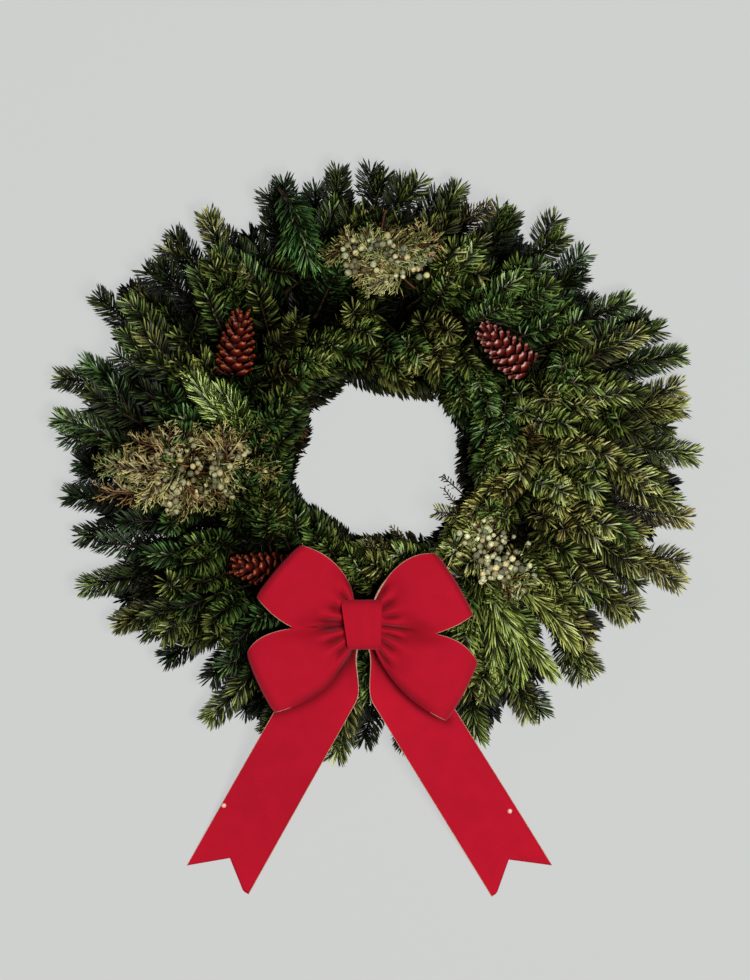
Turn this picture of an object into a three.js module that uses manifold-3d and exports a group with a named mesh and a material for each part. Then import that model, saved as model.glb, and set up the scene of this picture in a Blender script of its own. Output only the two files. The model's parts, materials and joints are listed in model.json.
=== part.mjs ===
// A fresh evergreen wreath with a red ribbon bow, lying on its back. Millimetres, +Z up, +Y towards
// the top of the wreath as it would hang. Thirty bunches of fir are clamped round a steel wire ring.
// Juniper with berries, pine sprays and cones are pushed in between the bunches, and the bow is
// wired on at the bottom.

import * as THREE from "three";
import { mergeVertices } from "three/addons/utils/BufferGeometryUtils.js";
import Module from "manifold-3d";

const wasm = await Module();
wasm.setup();

// ---------- driving dimensions ----------

// The steel ring: a 12 inch clamp ring of heavy wire, which the whole wreath lies on.
const RING_RADIUS = 152.4;
const RING_WIRE = 5;
const RING_STEPS = 36;
const CLAMP_WIRE = 2.2;
const CLEARANCE = 0.5;
const MERGE = 0.1; // edges shorter than this are closed up
const SURFACE_GAP = 1.2; // needles stay this far above the surface that the wreath lies on
const NEEDLE_GAP = 0.6; // and this far from what lies on the fir

// The bunches lean clockwise: each lies along a ray that touches a circle of this radius.
const SWIRL_RADIUS = 55;

// Each bunch's longest tip: its direction from the hole's centre, in degrees anticlockwise from
// +X, how far its needles reach from there, and how far in they come over the hole.
const BUNCHES = [
  [1, 315, 82], [10, 300, 90], [19, 320, 85], [32, 296, 78], [42, 276, 72], [50, 290, 73],
  [61, 280, 75], [73, 284, 84], [84, 280, 81], [97, 290, 79], [108, 292, 81], [124, 296, 75],
  [137, 290, 71], [149, 317, 81], [161, 303, 79], [172, 316, 75], [186, 305, 70], [203, 311, 67],
  [212, 298, 67], [223, 282, 73], [237, 302, 74], [248, 285, 77], [262, 294, 82], [276, 282, 87],
  [290, 292, 91], [301, 294, 88], [316, 298, 86], [328, 288, 83], [338, 322, 82], [352, 300, 82],
];

// The butts of the stems, bound side by side into a rope that follows the ring.
const ROPE = { halfWidth: 23, bottom: 6.5, top: 33, chamfer: 7 };

// Fir shoots of one bunch, from the lowest to the crown and the inner rim. from, via and to are each
// a distance along the bunch's ray and a height. short is how far the shoot falls short of the
// bunch's reach. sway is its sideways lean, as a share of the bunch's half width.
const SHOOTS = [
  { from: [150, 18], via: [215, 30], short: 12, height: 22, sway: 0, whorls: 4, bare: 0.34 },
  { from: [152, 24], via: [205, 58], short: 52, height: 62, sway: 0.3, whorls: 3, bare: 0.36 },
  { from: [148, 28], via: [168, 78], to: [208, 96], sway: -0.3, whorls: 2, bare: 0.45 },
  { from: [142, 30], via: [138, 72], to: [152, 108], sway: 0.3, whorls: 2, bare: 0.45 },
  { from: [132, 24], via: [102, 44], inner: true, height: 46, sway: 0, whorls: 2, bare: 0.35 },
];
const FIR = { stem: 2.1, band: 3.2, length: 20, lean: 56 };
const INNER_NEEDLE = 13;
const LOWEST_SHOOT = 14;
const PINE = { stem: 1.8, band: 3.2, length: 40, lean: 30 };
const LEAST_NEEDLE = 0.25; // a needle cut shorter than this share is left out

// What is pushed in on top of the fir. Each owns an upright space over its footprint: x, y, half
// sizes, turn in degrees and the height of the space's floor. slot is the gap between two bunches
// that its stem goes down. A pine spray's needles point the way that it is turned.
const JUNIPER = {
  top: { x: 9, y: 195, a: 58, b: 36, turn: 0, floor: 94, slot: 7 },
  left: { x: -172, y: -6, a: 84, b: 52, turn: 0, floor: 88, slot: 15 },
  right: { x: 115, y: -82, a: 46, b: 44, turn: 0, floor: 90, slot: 25 },
};
const PINES = {
  top: { x: -77, y: 226, a: 42, b: 26, turn: 292, floor: 80, slot: 10 },
  left: { x: -165, y: 64, a: 38, b: 26, turn: 122, floor: 88, slot: 13 },
  right: { x: 131, y: -166, a: 58, b: 38, turn: 297, floor: 80, slot: 24 },
};
const CONES = {
  upper_left: { x: -131, y: 114, a: 33, b: 22, turn: 82, floor: 76, slot: 11 },
  upper_right: { x: 123, y: 108, a: 33, b: 22, turn: 138, floor: 76, slot: 3 },
  lower_left: { x: -108, y: -103, a: 33, b: 22, turn: 170, floor: 54, slot: 18 },
};
const CONE = { length: 58, radius: 15, scale: 4.5, sides: 8, rows: 8, squeeze: 0.72 };
const CONE_WIRE = 1.2;
const BERRY_RADIUS = 3.8;
const TWIG = 1.25;
const KNUCKLE = 4.6; // where a bunch of fronds grows together

// The bow: 2.5 inch velvet ribbon, gathered under a band. A loop is [direction in degrees, length].
const RIBBON = 63.5;
const RIBBON_THICK = 1;
const KNOT = new THREE.Vector3(-11.5, -154.5, 118);
const LOOPS = {
  upper_left: [147.6, 92],
  upper_right: [23.7, 92],
  lower_left: [209.8, 108],
  lower_right: [325.9, 110],
};
const LOOP_GATHER = 8; // half the ribbon's gathered width at the knot
const LOOP_STATIONS = [0, 0.2, 0.28, 0.38, 0.52, 0.68, 0.84, 0.95, 1];
const LOOP_FLARE = { from: 0.16, over: 0.36 }; // where along a loop the gathers open out
const LOOP_SWELL = { from: 0.2, to: 0.62 }; // where its front and back draw apart
const LOOP_FOLD = 0.84; // where they begin to round over to each other
const NECK_GAP = 1.2; // half the gap between them at the neck
const LOOP_BACK = 104;
const LOOP_FRONT = 132;
const BAND = { width: 36, height: 48, back: 109, front: 131, corner: 7, thickness: 1.5 };
// A tail runs straight in plan from under the knot to the middle of its cut end.
const TAILS = {
  left: { from: [-22, -171], to: [-147.6, -401] },
  right: { from: [-1, -171], to: [140, -402] },
};
const TAIL_GATHER = 8;
const TAIL_FLARE = 1 / 5.5; // the share of a tail's length over which its gathers open out
const TAIL_STEPS = 12;
const TAIL_TOP = 100;
const TAIL_FLOOR = 0.6;
const NOTCH = 27; // depth of the swallow-tail cut
const TIE_WIRE = 1.4;
const BOW_SLOT = 21;

// ---------- plain helpers ----------

const radians = THREE.MathUtils.degToRad;
const point = (x, y, z) => new THREE.Vector3(x, y, z);
const heading = (degrees) => point(Math.cos(radians(degrees)), Math.sin(radians(degrees)), 0);

// An even scatter from -1 to 1 that is the same on every run: multiples of the golden ratio.
const scatter = (n) => ((n * 0.618034) % 1) * 2 - 1;

// A closed BufferGeometry as a solid, with its shared vertices merged.
function solid(geometry) {
  const bare = new THREE.BufferGeometry();
  bare.setAttribute("position", geometry.getAttribute("position"));
  if (geometry.index) bare.setIndex(geometry.index);
  const merged = mergeVertices(bare, 1e-3);
  const made = new wasm.Manifold(
    new wasm.Mesh({
      numProp: 3,
      vertProperties: new Float32Array(merged.attributes.position.array),
      triVerts: new Uint32Array(merged.index.array),
    }),
  );
  return made.volume() < 0 ? flipped(merged) : made;
}

// The same closed surface with its faces turned to point outwards.
function flipped(geometry) {
  const triVerts = new Uint32Array(geometry.index.array);
  for (let i = 0; i < triVerts.length; i += 3) {
    [triVerts[i + 1], triVerts[i + 2]] = [triVerts[i + 2], triVerts[i + 1]];
  }
  const vertProperties = new Float32Array(geometry.attributes.position.array);
  return new wasm.Manifold(new wasm.Mesh({ numProp: 3, vertProperties, triVerts }));
}

// The largest body of a solid, without the slivers and scraps that a join or a cut leaves.
const largest = (made, merge = MERGE) =>
  made.simplify(merge).decompose().sort((a, b) => b.volume() - a.volume())[0];
const fused = (solids) => largest(wasm.Manifold.union(solids));

function geometryOf(made) {
  const { vertProperties, triVerts } = made.getMesh();
  return new THREE.BufferGeometry()
    .setAttribute("position", new THREE.BufferAttribute(new Float32Array(vertProperties), 3))
    .setIndex(new THREE.BufferAttribute(new Uint32Array(triVerts), 1));
}

// A closed surface from points and from faces given as lists of point numbers.
function surface(points, faces) {
  const triangles = faces.flatMap((f) => f.slice(2).map((_, i) => [f[0], f[i + 1], f[i + 2]])).flat();
  return new THREE.BufferGeometry()
    .setAttribute("position", new THREE.Float32BufferAttribute(points.flatMap((p) => [p.x, p.y, p.z]), 3))
    .setIndex(triangles);
}

// A wire or stem along a list of points in one plane, which across is square to: a square section on
// its corner, mitred at every point. thickness is one value, or one for each point. closed joins the
// last point to the first.
function rod(points, thickness, across, closed = false) {
  const n = points.length;
  const rings = points.map((p, i) => {
    const before = closed || i > 0 ? p.clone().sub(points[(i + n - 1) % n]).normalize() : null;
    const after = closed || i + 1 < n ? points[(i + 1) % n].clone().sub(p).normalize() : null;
    const tangent = (before ?? after).clone().add(after ?? before).normalize();
    const mitre = 1 / tangent.dot(after ?? before);
    const half = (Array.isArray(thickness) ? thickness[i] : thickness) / 2;
    const side = tangent.clone().cross(across).multiplyScalar(half * mitre);
    const flat = across.clone().multiplyScalar(half);
    return [flat, side, flat.clone().negate(), side.clone().negate()].map((d) => d.add(p));
  });
  const faces = [];
  for (let i = 0; i < (closed ? n : n - 1); i++) {
    for (let j = 0; j < 4; j++) {
      const [k, m] = [(j + 1) % 4, ((i + 1) % n) * 4];
      faces.push([4 * i + j, 4 * i + k, m + k, m + j]);
    }
  }
  if (!closed) faces.push([3, 2, 1, 0], [4 * n - 4, 4 * n - 3, 4 * n - 2, 4 * n - 1]);
  return surface(rings.flat(), faces);
}

// An eight-sided outline from -w to w across and from b to t in height, with its corners cut by c.
function octagon(w, b, t, c) {
  return [
    [-w + c, b], [w - c, b], [w, b + c], [w, t - c], [w - c, t], [-w + c, t], [-w, t - c], [-w, b + c],
  ];
}

// A straight wire or twig from a to b. Each thickness belongs to one of its evenly spaced points.
function straight(a, b, ...thickness) {
  const across = b.clone().sub(a).cross(point(0.3, 0.9, 0.1)).normalize();
  const steps = Math.max(thickness.length - 1, 1);
  const points = Array.from({ length: steps + 1 }, (_, i) => a.clone().lerp(b, i / steps));
  return solid(rod(points, thickness.length > 1 ? thickness : thickness[0], across));
}

// ---------- the bunches' shares of the wreath ----------

// A ray of the swirl in a given direction: points on it are found from the distance along it, the
// distance to its left and the height.
function ray(degrees) {
  const along = heading(degrees);
  const left = heading(degrees + 90);
  return {
    left,
    at: (t, s, z) => along.clone().multiplyScalar(t).addScaledVector(left, SWIRL_RADIUS + s).setZ(z),
    leftOf: (p) => p.dot(left) - SWIRL_RADIUS,
    along: (p) => p.dot(along),
  };
}

const alongRay = (radius) => Math.sqrt(radius ** 2 - SWIRL_RADIUS ** 2);
const directions = BUNCHES.map(
  ([tip, reach]) => tip - THREE.MathUtils.radToDeg(Math.asin(SWIRL_RADIUS / reach)),
);

// Slot k is the upright gap between bunch k and bunch k + 1. Its half width leaves room for the
// clamp, stem or wire that stands in it.
const slots = directions.map((d, k) => {
  const next = k + 1 < directions.length ? directions[k + 1] : directions[0] + 360;
  return { ray: ray((d + next) / 2), halfWidth: CLAMP_WIRE / 2 + CLEARANCE };
});
const stemSlots = [JUNIPER, PINES, CONES].flatMap((group) => Object.values(group).map(({ slot }) => slot));
for (const slot of [...stemSlots, BOW_SLOT]) {
  slots[slot].taken = true;
  slots[slot].halfWidth = TWIG + CLEARANCE;
}

// The upright spaces that belong to what lies on the fir. A bow loop or tail has a rectangle.
const spaces = {};
for (const [kind, group] of Object.entries({ juniper: JUNIPER, pine: PINES, cone: CONES })) {
  for (const [place, perch] of Object.entries(group)) {
    spaces[`${kind}_${place}`] = { ...perch, round: true, floorAt: () => perch.floor };
  }
}
for (const [place, [direction, length]] of Object.entries(LOOPS)) {
  const centre = heading(direction).multiplyScalar(length / 2).add(KNOT);
  const half = RIBBON / 2 + 2;
  spaces[`loop_${place}`] = {
    x: centre.x, y: centre.y, a: length / 2 + 3, b: half, turn: direction, floorAt: () => LOOP_BACK - 3,
  };
}
for (const place of Object.keys(TAILS)) {
  const { start, out, length } = tailLine(place);
  const centre = start.addScaledVector(out, length / 2);
  spaces[`tail_${place}`] = {
    x: centre.x, y: centre.y, a: length / 2 + 3, b: RIBBON / 2 + 2,
    turn: THREE.MathUtils.radToDeg(Math.atan2(out.y, out.x)),
    floorAt: (u) => tailHeight(u + length / 2, length) - 3,
  };
}

function tailLine(place) {
  const { from, to } = TAILS[place];
  const start = point(...from, 0);
  const out = point(...to, 0).sub(start);
  const length = out.length();
  return { start, out: out.normalize(), length };
}

// A tail leaves the knot level, runs over the fir and comes down to the surface at its end: half a
// wave of a cosine.
function tailHeight(s, length) {
  const share = THREE.MathUtils.clamp(s / length, 0, 1);
  return TAIL_FLOOR + (TAIL_TOP - TAIL_FLOOR) * (1 + Math.cos(Math.PI * share)) / 2;
}

function inSpace(p, space, margin) {
  const c = Math.cos(radians(space.turn));
  const s = Math.sin(radians(space.turn));
  const [dx, dy] = [p.x - space.x, p.y - space.y];
  const [u, v] = [dx * c + dy * s, dy * c - dx * s];
  const [a, b] = [space.a + margin, space.b + margin];
  const over = space.round ? (u / a) ** 2 + (v / b) ** 2 < 1 : Math.abs(u) < a && Math.abs(v) < b;
  return over && p.z > space.floorAt(u) - margin;
}

const clearOfSpaces = (p, margin, own) =>
  Object.entries(spaces).every(([name, space]) => name === own || !inSpace(p, space, margin));

// ---------- shoots with needles ----------

// A shoot: a three-sided stem along a curve, with pairs of rings close together. Each of the six
// small faces between such a pair is drawn out into a needle, leaning towards the tip. allowed says
// where a needle may reach, and one that would go further is cut short of it.
function shoot({ curve, kind, whorls, bare, allowed, length = kind.length }) {
  const total = curve.getLength();
  const stations = [0];
  for (let w = 0; w < whorls; w++) {
    const s = total * (bare + ((1 - bare) * (w + 0.75)) / whorls);
    stations.push(s - kind.band / 2, s + kind.band / 2);
  }
  const points = [];
  const axis = [];
  let turn = 0;
  stations.forEach((s, i) => {
    const u = Math.min(s / total, 1);
    const centre = curve.getPointAt(u);
    const forward = curve.getTangentAt(u);
    const side = forward.clone().cross(point(0, 0, 1)).normalize();
    const up = side.clone().cross(forward);
    const r = kind.stem * (1 - 0.35 * u);
    turn += i % 2 ? 30 : 60;
    for (let j = 0; j < 3; j++) {
      const angle = radians(turn + 120 * j);
      points.push(
        centre.clone().addScaledVector(side, r * Math.cos(angle)).addScaledVector(up, r * Math.sin(angle)),
      );
    }
    axis.push({ centre, forward });
  });
  const end = axis.at(-1);
  points.push(end.centre.clone().addScaledVector(end.forward, kind.band));
  const faces = [[2, 1, 0]];
  for (let i = 0; i + 1 < stations.length; i++) {
    for (let j = 0; j < 3; j++) {
      const [a, b] = [3 * i + j, 3 * i + ((j + 1) % 3)];
      const pair = [[a, b, a + 3], [b, b + 3, a + 3]];
      faces.push(...(i % 2 ? pair.flatMap((f) => needle(f, axis[i])) : pair));
    }
  }
  const last = 3 * (stations.length - 1);
  for (let j = 0; j < 3; j++) faces.push([last + j, last + ((j + 1) % 3), last + 3]);

  function needle(face, { centre, forward }) {
    const corners = face.map((k) => points[k]);
    const root = corners.reduce((sum, p) => sum.add(p), point(0, 0, 0)).divideScalar(3);
    const out = root.clone().sub(centre);
    out.addScaledVector(forward, -out.dot(forward)).normalize();
    const lean = radians(kind.lean + 5 * scatter(face[0] + faces.length));
    const direction = forward.clone().multiplyScalar(Math.cos(lean)).addScaledVector(out, Math.sin(lean));
    for (let share = 1; share > LEAST_NEEDLE; share -= 0.08) {
      const tip = root.clone().addScaledVector(direction, length * share);
      const free = corners.every((c) =>
        [0.3, 0.5, 0.7, 0.85, 1].every((f) => allowed(c.clone().lerp(tip, f))),
      );
      if (free) {
        points.push(tip);
        const k = points.length - 1;
        return [[face[0], face[1], k], [face[1], face[2], k], [face[2], face[0], k]];
      }
    }
    return [face];
  }
  return solid(surface(points, faces));
}

// ---------- fir bunches ----------

// One bunch's length of the rope: an octagonal section drawn between the two slots beside it.
function ropeLength(low, high) {
  const middle = alongRay(RING_RADIUS);
  const section = octagon(ROPE.halfWidth, ROPE.bottom, ROPE.top, ROPE.chamfer);
  const n = section.length;
  const points = [
    ...section.map(([x, z]) => low.ray.at(middle + x, low.halfWidth, z)),
    ...section.map(([x, z]) => high.ray.at(middle + x, -high.halfWidth, z)),
  ];
  const faces = [section.map((_, i) => i), section.map((_, i) => 2 * n - 1 - i)];
  for (let i = 0; i < n; i++) faces.push([i, i + n, ((i + 1) % n) + n, (i + 1) % n]);
  return solid(surface(points, faces));
}

// How far along its ray a shoot ends.
function shootEnd(form, [, reach, inner], n) {
  if (form.to) return form.to[0] + 6 * scatter(n);
  return alongRay(form.inner ? inner + INNER_NEEDLE * 0.6 : reach - form.short);
}

// A bunch: its length of the rope and its shoots. A shoot that would run into something that lies on
// the fir, or into the next bunch, is laid lower until it is clear.
function firBunch(k) {
  const own = ray(directions[k]);
  const low = slots[(k + slots.length - 1) % slots.length];
  const high = slots[k];
  const inShare = (p, margin) =>
    low.ray.leftOf(p) > low.halfWidth + margin && high.ray.leftOf(p) < -high.halfWidth - margin;
  const allowed = (p) => inShare(p, MERGE) && p.z > SURFACE_GAP && clearOfSpaces(p, NEEDLE_GAP);
  const clear = (stem) =>
    stem.every((p) => clearOfSpaces(p, FIR.stem + 4)) && stem.slice(3).every((p) => inShare(p, FIR.stem));
  const shoots = SHOOTS.map((form, i) => {
    const n = k * SHOOTS.length + i;
    const out = shootEnd(form, BUNCHES[k], n);
    let top = (form.to ? form.to[1] : form.height) + 4 * scatter(2 * n + 1);
    let bend = form.via[1];
    const end = own.at(out, 0, 0);
    const room = (low.ray.leftOf(end) - high.ray.leftOf(end)) / 2;
    const sway = form.sway * (k % 2 ? 1 : -1) * room;
    for (; top > LOWEST_SHOOT; top -= 6, bend = Math.max(bend - 5, 20)) {
      const curve = new THREE.QuadraticBezierCurve3(
        own.at(form.from[0], 0, form.from[1]),
        own.at(form.via[0], sway * 0.4, bend),
        own.at(out, sway, top),
      );
      if (clear(curve.getPoints(10))) {
        const length = form.inner ? INNER_NEEDLE : FIR.length;
        return shoot({ curve, kind: FIR, whorls: form.whorls, bare: form.bare, allowed, length });
      }
    }
    return null;
  });
  return fused([ropeLength(low, high), ...shoots.filter(Boolean)]);
}

// ---------- the clamp ring ----------

function clampRing() {
  const h = RING_WIRE / 2;
  const w = h / Math.cos(radians(30));
  const profile = [-120, -60, 0, 60, 120, 180, 240].map(
    (a) => new THREE.Vector2(RING_RADIUS + w * Math.cos(radians(a)), h + w * Math.sin(radians(a))),
  );
  const ring = new THREE.LatheGeometry(profile, RING_STEPS).rotateX(Math.PI / 2);
  const offset = CLEARANCE + CLAMP_WIRE / 2;
  const loop = octagon(ROPE.halfWidth + offset, ROPE.bottom - offset, ROPE.top + offset, ROPE.chamfer);
  const middle = alongRay(RING_RADIUS);
  const clamps = slots
    .filter(({ taken }, k) => k % 3 === 1 && !taken)
    .map(({ ray: r }) => solid(rod(loop.map(([u, z]) => r.at(middle + u, 0, z)), CLAMP_WIRE, r.left, true)));
  return fused([solid(ring), ...clamps]);
}

// ---------- sprays pushed in between the bunches ----------

// The way up a slot, in its own plane: from the middle of the rope to under a perch and on into it.
function wayUp({ slot, floor }, over, shift = 0, rise = 6) {
  const { ray: r } = slots[slot];
  const t = r.along(over) + shift;
  const foot = r.at(alongRay(RING_RADIUS) + shift, 0, 14);
  return [foot, r.at(t, 0, floor - 2), r.at(t, 0, floor + rise)];
}

const stemUp = (perch, way, thickness = 2 * TWIG) => solid(rod(way, thickness, slots[perch.slot].ray.left));

// A flat feathery frond of scale leaves: one thin blade cut to the rib between its side twigs.
function frond(length, halfWidth, teeth) {
  const pitch = length / (teeth + 0.5);
  const edge = [];
  for (let i = 0; i < teeth; i++) {
    const width = halfWidth * (1 - 0.55 * Math.abs((2 * i) / (teeth - 1) - 0.8));
    edge.push([pitch * i + 1, 1.3], [pitch * (i + 1.35), width], [pitch * (i + 1.05), 1.2]);
  }
  const outline = [...edge, [length, 0], ...edge.toReversed().map(([x, y]) => [x, -y])];
  const shape = new THREE.Shape(outline.map(([x, y]) => new THREE.Vector2(x, y)));
  return new THREE.ExtrudeGeometry(shape, { depth: 1, bevelEnabled: false });
}

function juniperFoliage(place) {
  const perch = JUNIPER[place];
  const centre = point(perch.x, perch.y, 0);
  const way = wayUp(perch, centre, -5);
  const hub = way.at(-1);
  const count = 5;
  const fronds = Array.from({ length: count }, (_, i) => {
    const turn = radians((360 / count) * (i + 0.25 * scatter(i + perch.slot)));
    const reach = 0.97 / Math.hypot(Math.cos(turn) / (perch.a - 4), Math.sin(turn) / (perch.b - 4));
    const end = centre.clone().add(point(Math.cos(turn), Math.sin(turn), 0).multiplyScalar(reach));
    const length = Math.hypot(end.x - hub.x, end.y - hub.y);
    const leaf = frond(length, Math.min(12, length * 0.3), 3);
    leaf.rotateX(radians(12 * scatter(i))).rotateY(radians(-4 - 3 * (i % 2)));
    leaf.rotateZ(Math.atan2(end.y - hub.y, end.x - hub.x));
    return solid(leaf.translate(hub.x, hub.y, hub.z - 0.5));
  });
  const knuckle = new THREE.OctahedronGeometry(KNUCKLE).translate(...hub);
  const berryStem = stemUp(perch, wayUp(perch, centre, 5, 40), 2 * TWIG + 2 * CLEARANCE);
  return largest(fused([stemUp(perch, way), solid(knuckle), ...fronds]).subtract(berryStem), 3 * MERGE);
}

// A bunch of berries: thin twigs spread level over the foliage, swelling to a berry at even steps.
function juniperBerries(place) {
  const perch = JUNIPER[place];
  const way = wayUp(perch, point(perch.x, perch.y, 0), 5, 22);
  const top = way.at(-1);
  const arms = 5;
  const beads = [1.6, 1.6, 2 * BERRY_RADIUS, 1.6, 2 * BERRY_RADIUS, 1.6, 2 * BERRY_RADIUS, 1.6];
  const twigs = Array.from({ length: arms }, (_, i) => {
    const turn = ((i + 0.3 * scatter(i)) * 2 * Math.PI) / arms;
    const reach = point(Math.cos(turn) * perch.a, Math.sin(turn) * perch.b, 0).multiplyScalar(0.66);
    return straight(top, point(perch.x, perch.y, top.z + 4 * scatter(i + 3)).add(reach), ...beads);
  });
  return fused([stemUp(perch, way), ...twigs]);
}

// A spray of long needles on one short twig, which lies over the fir.
function pineSpray(place) {
  const perch = PINES[place];
  const own = `pine_${place}`;
  const along = (share, z) =>
    point(perch.x, perch.y, z).addScaledVector(heading(perch.turn), perch.a * share);
  const way = wayUp(perch, along(-0.4, 0));
  const z = way.at(-1).z;
  const allowed = (p) =>
    inSpace(p, spaces[own], -NEEDLE_GAP) && clearOfSpaces(p, NEEDLE_GAP, own) && p.z < perch.floor + 40;
  const curve = new THREE.QuadraticBezierCurve3(along(-0.82, z + 1), along(-0.3, z + 6), along(0.2, z + 12));
  const twig = shoot({ curve, kind: PINE, whorls: 5, bare: 0, allowed });
  return fused([stemUp(perch, way), straight(way.at(-1), along(-0.75, z + 2), 2 * TWIG), twig]);
}

// ---------- cones ----------

// A cone's scales: rings of points set half a step apart, and every diamond between four of them
// drawn up into a scale that leans towards the cone's tip.
function pineCone(place) {
  const perch = CONES[place];
  const { length, radius, scale, sides, rows, squeeze } = CONE;
  const points = [];
  for (let j = 0; j <= rows; j++) {
    const u = j / rows;
    const r = radius * (0.3 + 0.7 * Math.sin(Math.PI * Math.min(1, 0.2 + 0.8 * u) ** squeeze));
    for (let i = 0; i < sides; i++) {
      const angle = ((i + (j % 2) / 2) * 2 * Math.PI) / sides;
      points.push(point((u - 0.5) * length, r * Math.cos(angle), r * Math.sin(angle)));
    }
  }
  const id = (j, i) => j * sides + (i % sides);
  const faces = [];
  for (let j = 1; j < rows; j++) {
    for (let i = 0; i < sides; i++) {
      const between = i + (j % 2);
      const diamond = [id(j, i), id(j - 1, between), id(j, i + 1), id(j + 1, between)];
      const peak = diamond.reduce((sum, k) => sum.add(points[k]), point(0, 0, 0)).divideScalar(4);
      const out = point(0, peak.y, peak.z).normalize();
      points.push(peak.addScaledVector(out, scale).add(point(scale * 0.7, 0, 0)));
      diamond.forEach((k, n) => faces.push([k, diamond[(n + 1) % 4], points.length - 1]));
    }
  }
  for (let i = 0; i < sides; i++) {
    faces.push([id(0, i), id(0, i + 1), id(1, i)]);
    faces.push([id(rows, i + 1), id(rows, i), id(rows - 1, i + (rows % 2))]);
  }
  faces.push(Array.from({ length: sides }, (_, i) => id(0, sides - 1 - i)));
  faces.push(Array.from({ length: sides }, (_, i) => id(rows, i)));
  const geometry = surface(points, faces).rotateZ(radians(perch.turn));
  geometry.translate(perch.x, perch.y, perch.floor + radius + scale);
  return solid(geometry);
}

// The wire pick that holds a cone: down the slot from just under its scales.
function conePick(place) {
  const perch = CONES[place];
  const way = wayUp(perch, point(perch.x, perch.y, 0));
  return straight(way[0], way[1].setZ(perch.floor - CLEARANCE), CONE_WIRE);
}

// ---------- the bow ----------

// A strip of ribbon: rows of points across it, one list for each station along it, given a thickness
// to both sides of its middle surface. closed joins the last station to the first.
function strip(rows, thickness) {
  const stations = rows.length;
  const across = rows[0].length;
  const offset = rows.map((row, i) =>
    row.map((p, j) => {
      const along = rows[Math.min(i + 1, stations - 1)][j].clone().sub(rows[Math.max(i - 1, 0)][j]);
      const cross = row[Math.min(j + 1, across - 1)].clone().sub(row[Math.max(j - 1, 0)]);
      return along.cross(cross).normalize().multiplyScalar(thickness / 2);
    }),
  );
  const points = [1, -1].flatMap((sign) =>
    rows.flatMap((row, i) => row.map((p, j) => p.clone().addScaledVector(offset[i][j], sign))),
  );
  const n = stations * across;
  const faces = [];
  for (let i = 0; i + 1 < stations; i++) {
    for (let j = 0; j + 1 < across; j++) {
      const k = i * across + j;
      faces.push([k, k + across, k + across + 1, k + 1]);
      faces.push([n + k + 1, n + k + across + 1, n + k + across, n + k]);
    }
    const last = across - 1;
    const [a, b] = [i * across, i * across + last];
    faces.push([a, n + a, n + a + across, a + across], [b, b + across, n + b + across, n + b]);
  }
  const end = (stations - 1) * across;
  for (let j = 0; j + 1 < across; j++) {
    faces.push([j, j + 1, n + j + 1, n + j], [end + j, n + end + j, n + end + j + 1, end + j + 1]);
  }
  return surface(points, faces);
}

const gather = (from, share) => from + (RIBBON / 2 - from) * THREE.MathUtils.smoothstep(share, 0, 1);

// A loop: the ribbon goes out along the front, folds over at the far end and comes back behind. Its
// neck is gathered under the band, in its own quarter of the knot, and where an upper loop meets a
// lower one they are pressed together along a line that sags a little away from the knot.
function bowLoop(place) {
  const [direction, length] = LOOPS[place];
  const upper = place.startsWith("upper") ? 1 : -1;
  const left = place.endsWith("left") ? -1 : 1;
  const side = heading(direction - left * 90).multiplyScalar(-1);
  const neck = point(KNOT.x + left * 7, KNOT.y + upper * (LOOP_GATHER + 1), 0);
  const end = point(KNOT.x, KNOT.y, 0).addScaledVector(heading(direction), length);
  const plan = new THREE.QuadraticBezierCurve3(neck, neck.clone().setX(KNOT.x + left * 30), end);
  const middle = (LOOP_BACK + LOOP_FRONT) / 2;
  const fullest = (LOOP_FRONT - LOOP_BACK - RIBBON_THICK) / 2;
  function row(share, face) {
    const opened = THREE.MathUtils.smoothstep(share, LOOP_SWELL.from, LOOP_SWELL.to);
    const folded = THREE.MathUtils.clamp((share - LOOP_FOLD) / (1 - LOOP_FOLD), 0, 1);
    const apart = (NECK_GAP + (fullest - NECK_GAP) * opened) * Math.sqrt(1 - folded ** 2);
    const centre = plan.getPoint(share).setZ(middle + face * apart);
    const half = gather(LOOP_GATHER, (share - LOOP_FLARE.from) / LOOP_FLARE.over);
    const across = point(0, 1, 0).lerp(side, THREE.MathUtils.smoothstep(share, 0.2, 0.5)).normalize();
    return [-1, 0, 1].map((j) => {
      const p = centre.clone().addScaledVector(across, half * j);
      const line = KNOT.y - 0.07 * Math.abs(p.x - KNOT.x) + 0.8 * upper;
      return p.setY(upper * Math.max(upper * p.y, upper * line));
    });
  }
  const front = LOOP_STATIONS.map((share) => row(share, 1));
  const back = LOOP_STATIONS.slice(0, -1).map((share) => row(share, -1));
  return solid(strip([...front, ...back.reverse()], RIBBON_THICK));
}

// The band over the gathers: a short flattened tube of ribbon round the necks of the loops.
function bowBand() {
  const { width, height, back, front, corner, thickness } = BAND;
  const outline = (inset) => {
    const [y, z] = [height / 2 - inset, (front - back) / 2 - inset];
    return octagon(y, -z, z, corner - inset * 0.6).map((p) => new THREE.Vector2(...p));
  };
  const shape = new THREE.Shape(outline(0));
  shape.holes.push(new THREE.Path(outline(thickness)));
  const tube = new THREE.ExtrudeGeometry(shape, { depth: width, bevelEnabled: false });
  tube.rotateX(Math.PI / 2).rotateZ(Math.PI / 2);
  tube.translate(KNOT.x - width / 2, KNOT.y, (front + back) / 2);
  return solid(tube);
}

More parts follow.
